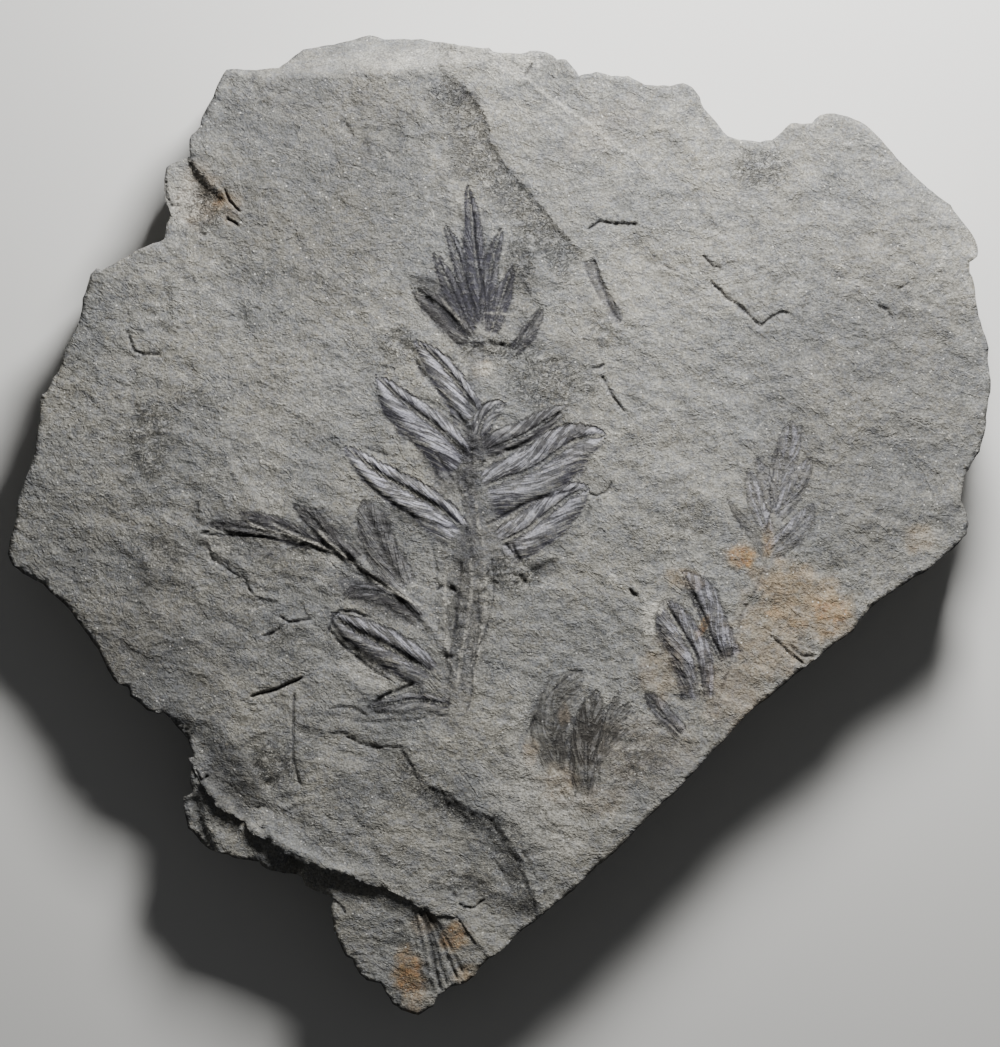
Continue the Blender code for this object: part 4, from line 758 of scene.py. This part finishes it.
def pressFern(spots, face):
    # relief of the leaflets and the colour marks that go with it, with painted shade on their shaded
    # sides and margins and a painted sheen on their lit flanks
    top = np.zeros(len(spots))
    low = np.zeros(len(spots))
    for number, (midrib, left, right, height, filmAndPaintedShade, glossAndPaintedSheen, brown, form) in enumerate(leaflets()):
        outline, base, blunt, rib, linedAndShaded, sheenReach = form
        bases = (base if left >= right else 0.6, base if right >= left else 0.6)
        path = smoothPath(midrib)
        index = nearby(spots, path, (1.3 * max(left, right) + 5) * step)
        along, side = beside(spots[index], path)
        length = np.sum(np.linalg.norm(np.diff(path, axis=0), axis=1))
        ragged = 1 + 0.14 * rough(spots[index], 1.5 * mm, 2, number + 0.3)
        share = ragged * np.abs(side) / np.where(side > 0, bladeHalf(along, left, bases[0], blunt),
                                                 bladeHalf(along, right, bases[1], blunt))
        way = path[-1] - path[0]
        leftIsLit = -way[1] * toLight[0] + way[0] * toLight[1] > 0
        lit = (side > 0) == leftIsLit
        inside = np.clip(share, 0, 1)
        vault = np.where(lit, hump(1 - inside, 0.70), hump(inside, 0.58))
        shown = ramp(-0.02, 0.16, along) * ramp(1.02, 0.84, along)
        fromBase = (1 - along) * length - np.abs(side) / fern["veinLean"]
        across = fromBase * np.sin(np.arctan(fern["veinLean"]))
        veinSpots = np.stack([(1 - along) * length, across], axis=1)
        veins = rough(veinSpots, fern["veinWidth"], 2, number + 0.7, 0, 6)
        veins *= linedAndShaded * fern["veinHeight"] * ramp(1.0, 0.8, share) * ramp(0.05, 0.25, share)
        groove = np.exp(-(side / fern["midribHalf"]) ** 2) * ramp(0.0, 0.08, along)
        groove = groove * ramp(1.02, 0.85, along)
        edge = np.exp(-((share - 1) / 0.10) ** 2) * np.where(lit, 0.22, 1)
        rise = np.where(share < 1, (height * mm * vault + veins + 0.02 * mm) * shown, 0)
        rise -= (fern["midribDepth"] * rib * groove + 0.06 * mm * edge * outline) * min(1, height / 0.2)
        wins = (share < 1.0) & (rise > top[index])
        top[index] = np.maximum(top[index], rise)
        low[index] = np.minimum(low[index], rise)
        won = index[wins]
        cover = ramp(1.0, 0.90, share[wins]) * ramp(1.0, 0.95, along[wins])
        band = fern["bandHalf"] * (0.45 + 0.80 * along) * ramp(-0.1, 0.2, along)
        band *= 0.8 + 0.5 * rough(spots[index], 1.3 * mm, 2, 7.7)
        band = rib * np.exp(-(side / np.maximum(band, 0.05 * mm)) ** 2)
        # the film is darker in the midrib hollow and on the part of each half turned from the light:
        # carbon film, deepened as painted shade
        depth = np.where(lit, ramp(0.32, 0.05, inside), np.maximum(ramp(0.14, 0.02, inside),
                                                                     ramp(sheenReach, 0.95, inside)))
        amount = np.clip(filmAndPaintedShade * (1 - 0.28 * linedAndShaded + 0.75 * linedAndShaded * depth[wins]), 0, 0.95)
        amount = np.maximum(amount, 0.97 * band[wins])
        # painted sheen: the flanks that face up the slab, towards the light, are drawn in a pale sheen colour
        paintedSheenFlank = np.where(lit, ramp(0.10, 0.35, inside) * ramp(1.0, 0.8, inside),
                         ramp(0.05, 0.15, inside) * ramp(sheenReach, 0.68 * sheenReach, inside))
        sheenPainted = glossAndPaintedSheen * paintedSheenFlank[wins] * (1 - band[wins])
        for name, value in (("filmAndPaintedShade", amount), ("glossAndPaintedSheen", sheenPainted), ("brown", brown)):
            face[name][won] = np.maximum(value * cover, face[name][won] * (1 - cover))
        face["veinAlong"][won] = veinSpots[wins, 0] / mm
        face["veinAcross"][won] = across[wins] / mm + 40 * number
        face["veinDepth"][won] = linedAndShaded * cover * ramp(0.04, 0.2, share[wins])
        # dark midrib groove (carbon, deepened as painted shade) and margin line, darkest on the half turned from the
        # light: painted shade
        line = np.maximum(0.32 * rib * groove, 0.75 * outline * edge)
        line *= ramp(-0.5, 0.3, rough(spots[index], 1.1 * mm, 2, number + 0.1))
        face["darkAndPaintedShade"][index] = np.maximum(face["darkAndPaintedShade"][index], line)
    relief = np.where(top > 0, top + 0.4 * low, low)
    for line, height, half, darkAndPaintedShade in fern["stems"]:
        path = smoothPath(line)
        index = nearby(spots, path, half * step)
        along, side = beside(spots[index], path)
        body = np.clip(1 - (side / (half * step)) ** 2, 0, 1) * ramp(0, 0.06, along)
        relief[index] += height * mm * body
        face["filmAndPaintedShade"][index] = np.maximum(face["filmAndPaintedShade"][index], darkAndPaintedShade * ramp(0, 0.5, body))
    return relief


def bedding(spots):
    x, y = spots[:, 0], spots[:, 1]
    crest = ((420, 40), (480, 125), (581, 255), (640, 420), (700, 640), (720, 760))
    _, off = beside(spots, smoothPath(crest))
    level = slab["faceLevel"] - np.where(off > 0, 0.022, 0.030) * np.abs(off)
    level -= 0.060 * np.clip(-20 * mm - x, 0, None) * ramp(30 * mm, -20 * mm, y)
    level -= 0.9 * mm * ramp(-26 * mm, -58 * mm, y) * ramp(30 * mm, -20 * mm, x)
    level += 0.55 * mm * rough(spots, 34 * mm, 2, 3.1)
    level += 0.34 * mm * (1 + 0.35 * ramp(5 * mm, 25 * mm, x)) * rough(spots, 8 * mm, 4, 8.4)
    ripples = rough(spots, 0.75 * mm, 3, 1.9, 3, 2.6) * ramp(-15 * mm, 20 * mm, x)
    streaks = rough(spots, 0.80 * mm, 3, 5.2, -42, 3.0) * ramp(5 * mm, -25 * mm, x)
    hummocks = rough(spots, 2.6 * mm, 2, 6.1, 6, 1.5) * (0.5 + 0.9 * ramp(-5 * mm, 15 * mm, x))
    level += 0.032 * mm * ripples + 0.026 * mm * streaks + 0.085 * mm * hummocks
    _, off = beside(spots, place(((195, 742), (222, 785), (250, 815))))
    level -= 0.7 * mm * ramp(4.5 * mm, 0.5 * mm, np.abs(off + 1.0 * mm))
    _, off = beside(spots, place(slab["lowerEdge"]))
    level += 0.25 * mm * ramp(2.6 * mm, 0.2 * mm, np.abs(off))
    for line, height, reach in slab["swells"]:
        along, off = beside(spots, smoothPath(line))
        high = ramp(reach, 0, off / mm) * ramp(-0.4, 0, off / mm)
        level += height * mm * high * ramp(0, 0.15, along) * ramp(1, 0.85, along)
    ragged = 0.25 * rough(spots, 2.2 * mm, 3, 6.6)
    for line, drop, run, back in slab["steps"]:
        along, off = beside(spots, place(line))
        below = (-off if drop > 0 else off) / mm + ragged * min(1, run)
        ends = ramp(0, 0.12, along) * ramp(1, 0.88, along)
        fallen = 1 - (1 - np.clip(below / run, 0, 1)) ** 2
        level -= abs(drop) * mm * ends * fallen * ramp(back, 1.5 * run, below)
    for line, drop in slab["bevels"]:
        along, off = beside(spots, place(line))
        level -= drop * np.clip(off / (4.6 * mm), 0, 1.1) * ramp(0, 0.08, along) * ramp(1, 0.92, along)
    return level


def crumples(spots, face):
    found = np.zeros(len(spots))
    for line, width, amount, darkAndPaintedShade in slab["scuffsAndShade"]:
        along, off = beside(spots, place(line))
        near = ramp(width, 0.5 * width, off / mm) * ramp(-0.12, 0.02, off / mm)
        near *= ramp(0, 0.08, along) * ramp(1, 0.92, along)
        face["crumple"] = np.maximum(face["crumple"], amount * near)
        # painted shade on the low side of the step
        face["darkAndPaintedShade"] = np.maximum(face["darkAndPaintedShade"], darkAndPaintedShade * near)
    for number, (middle, size, height, grain, *lay) in enumerate(slab["crumpled"]):
        turn, stretch = lay or (-15, 1.5)
        way = (spots - place([middle])[0]) / (np.array(size) * step)
        index = np.nonzero(np.sum(way**2, axis=1) < 1)[0]
        fade = ramp(1.0, 0.35, np.sqrt(np.sum(way[index] ** 2, axis=1)))
        sharp = 1 - 2 * np.abs(rough(spots[index], grain, 4, number + 0.5, turn, stretch))
        found[index] += height * fade * (sharp - 0.5)
        face["crumple"][index] = np.maximum(face["crumple"][index], fade * height / (0.24 * mm))
    return found


def lowerDrop(spots):
    x, drop, fall = np.transpose(slab["lowerBeds"])
    stepX = plan["middle"][0] + spots[:, 0] / step
    _, off = beside(spots, place(slab["lowerEdge"]))
    ledge = np.interp(stepX, x, drop) + np.interp(stepX, x, fall) * np.abs(off)
    return ledge + 0.3 * np.minimum(ledge, mm) * rough(spots, 6 * mm, 3, 2.2)


def ruleLines(spots, level, face):
    for group, rows in lines.items():
        thin = 0.62 if group in ("cracks", "creases") else 1.0
        for number, (line, depth, half, darkAndPaintedShade) in enumerate(rows):
            path = place(line) if group == "cracks" else smoothPath(line)
            index = nearby(spots, path, half * step * 3)
            along, side = beside(spots[index], path)
            wobble = 0.16 * mm * rough(spots[index], 2.4 * mm, 2, 4.1)
            wobble += 0.07 * mm * rough(spots[index], 0.7 * mm, 2, 9.1)
            broken = 0.6 if group == "creases" else 0.2
            heavy = ramp(-0.6, 0.1, rough(spots[index], 1.8 * mm, 2, number + 0.6))
            width = thin * half * step * (0.55 + 0.45 * ramp(0, 0.3, along) * ramp(1, 0.7, along))
            width = np.maximum(width, slab["thinnest"])
            cut = np.exp(-((side + wobble) / width) ** 2)
            cut = cut * ramp(-0.02, 0.06, along) * ramp(1.02, 0.94, along)
            cut = cut * (1 - broken + broken * heavy)
            level[index] -= depth * mm * cut
            # dark lines carry painted shade, pale lines a painted highlight
            stained = "darkAndPaintedShade" if darkAndPaintedShade > 0 else "paleAndPaintedLight"
            face[stained][index] = np.maximum(face[stained][index], abs(darkAndPaintedShade) * ramp(0.2, 0.8, cut))


def stainWithPaintedLight(spots, name, face, seed):
    # rust is a stain; the film, dark and pale marks are partly painted shade and painted light
    for middle, size, turn, strength in stainsAndPaintedLight[name]:
        way = spots - place([middle])[0]
        angle = np.radians(turn)
        u = (way[:, 0] * np.cos(angle) + way[:, 1] * np.sin(angle)) / (size[0] * step)
        v = (way[:, 1] * np.cos(angle) - way[:, 0] * np.sin(angle)) / (size[1] * step)
        away = np.hypot(u, v)
        index = np.nonzero(away < 1.7)[0]
        ragged = away[index] + 0.35 * rough(spots[index], 1.6 * mm, 4, seed + 0.01 * middle[0])
        cover = strength * ramp(1.15, 0.6, ragged)
        face[name][index] = 1 - (1 - face[name][index]) * (1 - cover)


def raiseFace(shape, bed, layers):
    # gives every point of the plan its height and its marks
    verts = shape.verts[:]
    spots = np.array([vert.co[:2] for vert in verts])
    beds = [{face[bed] for face in vert.link_faces} for vert in verts]
    isLower = np.array([2 in found for found in beds])
    face = {name: np.zeros(len(spots)) for name in markNames}
    level = bedding(spots)
    upper = level + pressFern(spots, face)
    level = np.where(isLower, level - lowerDrop(spots), upper) + crumples(spots, face)
    ruleLines(spots, level, face)
    for name, seed in (("rust", 11.0), ("filmAndPaintedShade", 17.0), ("darkAndPaintedShade", 23.0), ("paleAndPaintedLight", 37.0)):
        stainWithPaintedLight(spots, name, face, seed)
    foot = moved(place(slab["lowerEdge"]), slab["breakRun"])
    along, off = beside(spots, foot)
    inward = moved(foot, -1) - foot
    nearest = np.array([np.argmin(np.linalg.norm(foot - spot, axis=1)) if low else 0
                        for spot, low in zip(spots, isLower)])
    amount = slab["undercut"] * np.clip(lowerDrop(spots) / (3 * mm), 0, 1)
    amount *= ramp(0.02, 0.12, along) * ramp(0.98, 0.88, along) * ramp(2.8 * mm, 0, np.abs(off))
    spots = spots + np.where(isLower, amount, 0)[:, None] * inward[nearest]
    for vert, spot, z in zip(verts, spots, level):
        vert.co = (*spot, z)
    for name, layer in layers.items():
        values = face[name].tolist()
        for vert, value in zip(verts, values):
            vert[layer] = value
    print("face raised: bedding, fern relief and stains")


def addSides(shape, layers):
    # the rim is drawn down in rings that lean in, then closed with the underside
    rim = [edge for edge in shape.edges if edge.is_boundary]
    top = {}
    outward = {}
    for edge in rim:
        face = edge.link_faces[0]
        middle = face.calc_center_median()
        for vert in edge.verts:
            way = edge.verts[1].co - edge.verts[0].co
            across = Vector((way.y, -way.x, 0)).normalized()
            if across.dot(vert.co - middle) < 0:
                across = -across
            outward[vert] = outward.get(vert, Vector()) + across
    shares, insets = np.transpose(slab["sideLean"])
    for number in range(slab["sideRings"]):
        share = 1 - (number + 1) / slab["sideRings"]
        inset = np.interp(share, shares, insets)
        made = bmesh.ops.extrude_edge_only(shape, edges=rim)["geom"]
        rim = [part for part in made if isinstance(part, bmesh.types.BMEdge)]
        fresh = {part for part in made if isinstance(part, bmesh.types.BMVert)}
        started, ways = {}, {}
        for vert in fresh:
            above = next(edge.other_vert(vert) for edge in vert.link_edges
                         if edge.other_vert(vert) not in fresh)
            started[vert] = top.get(above, above.co.copy())
            ways[vert] = outward[above]
        for vert in fresh:
            first = started[vert]
            lumps = noise.noise((first.x / (5 * mm), first.y / (5 * mm), share * 9))
            lean = inset * (1 + 0.8 * lumps)
            out = ways[vert].normalized()
            vert.co = (first.x - out.x * lean, first.y - out.y * lean, first.z * share)
            for layer in layers.values():
                vert[layer] = 0.0
            vert[layers["side"]] = 1.0
        top.update(started)
        outward.update(ways)
    for vert in fresh:
        vert.co.z = 0.0
    return rim


def closeUnderside(shape, rim):
    made = bmesh.ops.contextual_create(shape, geom=rim)["faces"]
    bmesh.ops.recalc_face_normals(shape, faces=shape.faces[:])
    print("underside faces:", len(made))
    geom = list({part for face in made for part in (*face.verts, *face.edges)}) + made
    for axis in (0, 1):
        for at in np.arange(-57 * mm, 60 * mm, 4 * mm):
            plane = Vector((at, 0, 0)) if axis == 0 else Vector((0, at, 0))
            done = bmesh.ops.bisect_plane(shape, geom=geom, dist=1e-7, plane_co=plane,
                                          plane_no=Vector((1 - axis, axis, 0)))
            geom = list({part for part in done["geom"] + done["geom_cut"] if part.is_valid})
    bmesh.ops.triangulate(shape, faces=[face for face in shape.faces if len(face.verts) > 3])


def roughenSides(shape, layers):
    side = layers["side"]
    shape.normal_update()
    verts = [vert for vert in shape.verts if vert[side] > 0.3 and vert.co.z > 0.3 * mm]
    moves = []
    for vert in verts:
        normal = Vector((vert.normal.x, vert.normal.y, 0))
        if normal.length < 0.2:
            continue
        normal.normalize()
        x, y, z = vert.co
        beds = noise.fractal((x / (9 * mm), y / (9 * mm), z / (1.1 * mm)), 1.0, 2.0, 2)
        blocks = noise.fractal((x / (2.2 * mm), y / (2.2 * mm), z / (1.6 * mm)), 1.0, 2.0, 3)
        moves.append((vert, normal * (0.26 * beds + 0.22 * blocks - 0.14) * mm))
    for vert, move in moves:
        vert.co += move * min(1, vert[side] * 1.2)


# sizes in mm; the finest grain of shale is under 0.1 mm and is drawn coarser, so that it shows
shale = {
    "stone": "#797976", "warm": "#807d74", "cool": "#707277", "bed": "#6b6863",
    "speck": "#817763", "ridge": "#8a8880", "micaAndGlint": "#dedbd3",
    "filmAndPaintedShade": "#2c2b35", "brownFilm": "#302d26", "paintedSheenFilm": "#9d9ca8",
    "rust": "#907a5a", "orange": "#9f774c", "scarAndPaintedLight": "#b7b3a8", "crackAndShade": "#1b1a20",
    "rippleSize": 0.46, "rippleStretch": 1.25, "rippleHeight": 0.07, "rippleWarp": 0.3,
    "streakTurn": -42, "streakEnd": -6, "streakStart": -30,   # where along x the streaks give way
    "creaseSize": 1.0, "creaseDepth": 0.04,
    "smudgeSize": 1.7, "smudgeHeight": 0.52,
    "grainSize": 0.25, "grainHeight": 0.12,
    "flakeSize": 6.0, "flakeStep": 0.055,
    "foldSize": 0.80, "foldDepth": 0.16,
    "veinSize": 0.34, "veinStretch": 8, "veinHeight": 0.14,
}


def shaleMaterial():
    # Shale: mud pressed hard and split along its bedding. It gives the eye a dull mid grey with a
    # fine rippled grain, pale mica specks and rust where water came in. The leaves left a thin
    # carbon film on it, dark blue grey and slightly satin, fine-lined by their veins. Some light and
    # shade is painted into the colour: shade in creases, folds, ripple hollows, cracks and vein grooves,
    # on sides turned from the light and under ledges; light on ripple crests and lit facets; a sheen on
    # the leaflets' lit flanks and a glint on the mica.
    material = bpy.data.materials.new("shale with carbon film")
    material.use_nodes = True
    tree = material.node_tree
    shader = tree.nodes["Principled BSDF"]
    where = addNode(tree, "TexCoord").outputs["Object"]
    tint = {name: hexColour(value) for name, value in shale.items() if isinstance(value, str)}

    def mark(name):
        return addNode(tree, "Attribute", {"attribute_name": name}).outputs["Fac"]

    def pattern(size, detail, roughness=0.6, stretch=(1, 1, 1), turn=0.0, shift=0.0, vector=where,
                warp=0.0):
        # lumps of a size in mm, 0 to 1 about 0.5
        turned = addNode(tree, "Mapping", {}, {"Vector": vector, "Location": (shift, shift, shift),
                                               "Rotation": (0, 0, np.radians(-turn))})
        scaled = addNode(tree, "Mapping", {}, {"Vector": turned.outputs["Vector"],
                                               "Scale": tuple(1 / s for s in stretch)})
        return addNode(tree, "TexNoise", {}, {"Vector": scaled.outputs["Vector"],
                                              "Scale": 1 / (size * mm), "Detail": detail,
                                              "Roughness": roughness,
                                              "Distortion": warp}).outputs["Fac"]

    def maths(kind, first, second=0.0, third=0.0):
        node = addNode(tree, "Math", {"operation": kind})
        for socket, value in zip(node.inputs, (first, second, third)):
            if isinstance(value, bpy.types.NodeSocket):
                tree.links.new(value, socket)
            else:
                socket.default_value = value
        return node.outputs[0]

    def between(value, low, high, toLow=0.0, toHigh=1.0):
        return addNode(tree, "MapRange", {"interpolation_type": "SMOOTHSTEP"},
                       {"Value": value, "From Min": low, "From Max": high, "To Min": toLow,
                        "To Max": toHigh}).outputs["Result"]

    def mix(share, first, second, blend="MIX"):
        node = addNode(tree, "Mix", {"data_type": "RGBA", "blend_type": blend})
        for socket, value in ((node.inputs[0], share), (node.inputs[6], first), (node.inputs[7], second)):
            if isinstance(value, bpy.types.NodeSocket):
                tree.links.new(value, socket)
            else:
                socket.default_value = value
        return node.outputs[2]

    def blend(share, first, second):
        return addNode(tree, "Mix", {"data_type": "FLOAT"}, {"Factor": share, "A": first,
                                                             "B": second}).outputs["Result"]

    filmAndPaintedShade, glossAndPaintedSheen, brown, darkAndPaintedShade = mark("filmAndPaintedShade"), mark("glossAndPaintedSheen"), mark("brown"), mark("darkAndPaintedShade")
    rust, paleAndPaintedLight, side = mark("rust"), mark("paleAndPaintedLight"), mark("side")
    x = addNode(tree, "SeparateXYZ", {}, {"Vector": where}).outputs["X"]
    leftPart = between(x, shale["streakEnd"] * mm, shale["streakStart"] * mm)

    # patterns of the broken surface
    long = (shale["rippleStretch"], 1, 1)
    warp = shale["rippleWarp"]
    ripples = blend(leftPart, pattern(shale["rippleSize"], 3, 0.6, long, -12, warp=warp),
                    pattern(shale["rippleSize"], 3, 0.6, long, shale["streakTurn"], 0.9, warp=warp))
    folds = blend(leftPart, pattern(shale["creaseSize"], 3, 0.6, (1.8, 1, 1), 8, 2.9, warp=warp),
                  pattern(shale["creaseSize"], 3, 0.6, (1.8, 1, 1), shale["streakTurn"], 3.9,
                          warp=warp))
    uneven = between(pattern(4.5, 3, 0.6, (1.4, 1, 1), 10, 8.8), 0.34, 0.64)
    # creases: grooves in the bump, also drawn darker as painted shade
    creaseAndShade = between(maths("ABSOLUTE", maths("SUBTRACT", folds, 0.5)), 0.030, 0.0)
    creaseAndShade = maths("MULTIPLY", creaseAndShade, uneven)
    grain = pattern(shale["grainSize"], 2, 0.6, shift=0.2)
    smudge = pattern(shale["smudgeSize"], 3, 0.5, (1.3, 1, 1), -14, 1.1, warp=0.2)
    # thin flakes of the bedding, each a tiny step, and the folds of crumpled stone
    flaking = pattern(shale["flakeSize"], 5, 0.62, (1.3, 1, 1), -20, 5.9, warp=0.5)
    flakes = maths("ADD", between(flaking, 0.425, 0.445), between(flaking, 0.545, 0.560))
    lip = between(maths("ABSOLUTE", maths("SUBTRACT", flaking, 0.560)), 0.006, 0.001)
    crumple = between(mark("crumple"), 0.2, 0.9)
    wrinkles = pattern(shale["foldSize"], 3, 0.62, (1.2, 1, 1), 20, 5.5, warp=1.3)
    wrinkle = between(maths("ABSOLUTE", maths("SUBTRACT", wrinkles, 0.5)), 0.0, 0.07)
    cloud = pattern(9, 4, 0.6, shift=0.7)
    speckle = pattern(0.34, 2, 0.5, shift=0.3)
    beds = pattern(0.5, 3, 0.6, stretch=(14, 14, 1))

    colour = mix(between(cloud, 0.3, 0.7), tint["stone"], tint["warm"])
    colour = mix(between(pattern(0.9, 3, 0.6, shift=4.4), 0.44, 0.62, 0.0, 0.45), colour, tint["cool"])
    # lighter tint on the ripple crests: painted light
    colour = mix(maths("MULTIPLY", between(ripples, 0.52, 0.70), 0.5), colour, tint["ridge"])
    colour = mix(maths("MULTIPLY", lip, 0.4), colour, tint["scarAndPaintedLight"])
    colour = mix(maths("MULTIPLY", side, between(beds, 0.35, 0.7)), colour, tint["bed"])
    specks = between(pattern(0.42, 3, 0.6, shift=6.1, warp=0.5), 0.58, 0.68, 0.0, 0.38)
    colour = mix(specks, colour, tint["speck"])
    # carbon film, thin and patchy, drawn darker in the vein grooves as painted shade
    filmColour = mix(brown, tint["filmAndPaintedShade"], tint["brownFilm"])
    leafSpot = addNode(tree, "CombineXYZ", {}, {"X": mark("veinAlong"), "Y": mark("veinAcross"),
                                                "Z": 0.5}).outputs["Vector"]
    leafSpot = addNode(tree, "VectorMath", {"operation": "SCALE"}, {"Vector": leafSpot,
                                                                   "Scale": mm}).outputs["Vector"]
    striae = pattern(shale["veinSize"], 2, 0.55, (shale["veinStretch"], 1, 1), vector=leafSpot)
    onLeaf = mark("veinDepth")
    patchy = between(pattern(0.6, 4, 0.7, (1.5, 1, 1), 0, 2.2), 0.30, 0.60, 0.62, 1.05)
    cover = maths("MULTIPLY", filmAndPaintedShade, patchy)
    linedAndShaded = maths("MULTIPLY", between(striae, 0.43, 0.57, 0.40, -0.14), onLeaf)
    cover = maths("ADD", cover, linedAndShaded)
    cover = maths("MINIMUM", maths("MAXIMUM", cover, 0.0), 0.96)
    colour = mix(cover, colour, filmColour)
    # painted sheen: the sheen colour on the vein ridges of the leaflet flanks that face the light
    paintedSheenMix = maths("MULTIPLY", glossAndPaintedSheen, between(striae, 0.47, 0.57, 0.0, 1.0))
    colour = mix(paintedSheenMix, colour, tint["paintedSheenFilm"])
    # rust, deepest in spots; pale scars and painted light; dark stains and cracks with painted shade
    rustSpread = between(pattern(1.4, 5, 0.7, shift=3.1, warp=0.4), 0.30, 0.62, 0.25, 1.0)
    orange = maths("MULTIPLY", between(rust, 0.5, 1.0), between(pattern(0.8, 4, 0.65, shift=7.3),
                                                                  0.40, 0.62))
    rustColour = mix(orange, tint["rust"], tint["orange"])
    uncovered = maths("SUBTRACT", 1.0, maths("MULTIPLY", cover, 0.85))
    colour = mix(maths("MULTIPLY", maths("MULTIPLY", rust, rustSpread), uncovered), colour, rustColour)
    colour = mix(maths("MULTIPLY", paleAndPaintedLight, between(speckle, 0.35, 0.6, 0.25, 1.0)), colour,
                 tint["scarAndPaintedLight"])
    colour = mix(maths("MULTIPLY", darkAndPaintedShade, between(speckle, 0.2, 0.7, 1.0, 0.75)), colour,
                 tint["crackAndShade"])
    # tone: random grain, smudges and clouds, with painted shade in the ripple hollows, creases and folds and painted
    # light on the ripple crests
    toneAndShade = between(ripples, 0.30, 0.70, 0.88, 1.12)
    toneAndShade = maths("MULTIPLY", toneAndShade, between(grain, 0.30, 0.70, 0.68, 1.32))
    toneAndShade = maths("MULTIPLY", toneAndShade, between(smudge, 0.30, 0.70, 0.87, 1.13))
    # folds of crumpled stone: grooves in the bump, also drawn darker as painted shade
    foldsAndShade = maths("MULTIPLY", crumple, maths("SUBTRACT", 1.0, wrinkle))
    toneAndShade = maths("MULTIPLY", toneAndShade, maths("SUBTRACT", 1.0, maths("MULTIPLY", foldsAndShade, 0.42)))
    toneAndShade = maths("MULTIPLY", toneAndShade, between(cloud, 0.32, 0.68, 0.92, 1.08))
    toneAndShade = maths("MULTIPLY", toneAndShade, maths("SUBTRACT", 1.0, maths("MULTIPLY", creaseAndShade, 0.16)))
    tones = addNode(tree, "CombineColor", {}, {"Red": toneAndShade, "Green": toneAndShade, "Blue": toneAndShade})
    colour = mix(1.0, colour, tones.outputs["Color"], "MULTIPLY")
    # mica flakes are about 0.1 mm; their pale sparkle is a painted glint
    cells = addNode(tree, "TexVoronoi", {}, {"Vector": where, "Scale": 1 / (0.8 * mm)})
    micaAndGlint = between(cells.outputs["Distance"], 0.16, 0.08)
    some = addNode(tree, "SeparateColor", {}, {"Color": cells.outputs["Color"]}).outputs["Red"]
    micaAndGlint = maths("MULTIPLY", micaAndGlint, between(some, 0.45, 0.75, 0.0, 0.7))
    micaAndGlint = maths("MULTIPLY", micaAndGlint, maths("SUBTRACT", 1.0, cover))
    colour = mix(micaAndGlint, colour, tint["micaAndGlint"])
    tree.links.new(colour, shader.inputs["Base Color"])
    tree.links.new(maths("SUBTRACT", 0.88, maths("MULTIPLY", glossAndPaintedSheen, 0.46)), shader.inputs["Roughness"])
    shader.inputs["IOR"].default_value = 1.5
    # relief too fine for the mesh, in mm; the film lies smoother than the bare stone
    bare = maths("SUBTRACT", 1.0, maths("MULTIPLY", maths("MAXIMUM", onLeaf, cover), 0.7))
    rippled = maths("MULTIPLY", maths("SUBTRACT", ripples, 0.5), blend(uneven, 0.55, 1.2))
    height = maths("MULTIPLY", rippled, shale["rippleHeight"])
    height = maths("MULTIPLY_ADD", smudge, shale["smudgeHeight"], height)
    height = maths("MULTIPLY_ADD", grain, shale["grainHeight"], height)
    height = maths("MULTIPLY_ADD", creaseAndShade, -shale["creaseDepth"], height)
    height = maths("MULTIPLY_ADD", flakes, shale["flakeStep"], height)
    height = maths("MULTIPLY_ADD", foldsAndShade, -shale["foldDepth"], height)
    height = maths("MULTIPLY", height, bare)
    height = maths("MULTIPLY_ADD", maths("MULTIPLY", striae, onLeaf), shale["veinHeight"], height)
    height = maths("MULTIPLY_ADD", maths("MULTIPLY", side, beds), 0.35, height)
    bump = addNode(tree, "Bump", {}, {"Strength": 1.0, "Distance": mm, "Height": height})
    tree.links.new(bump.outputs["Normal"], shader.inputs["Normal"])
    return material


def buildSlab():
    spacing = spacingMap()
    shape, bed, layers = flatPlan(spacing)
    raiseFace(shape, bed, layers)
    rim = addSides(shape, layers)
    closeUnderside(shape, rim)
    roughenSides(shape, layers)
    bmesh.ops.recalc_face_normals(shape, faces=shape.faces[:])
    for face in shape.faces:
        face.smooth = True
    mesh = bpy.data.meshes.new("fossilSlab")
    shape.to_mesh(mesh)
    shape.free()
    mesh.materials.append(shaleMaterial())
    stone = bpy.data.objects.new("fossilSlab", mesh)
    bpy.context.scene.collection.objects.link(stone)
    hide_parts("slab")
    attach(stone, "root")
    print("fossil slab built:", len(mesh.polygons), "triangles")


setTheStage()
buildSlab()

bpy.context.view_layer.update()
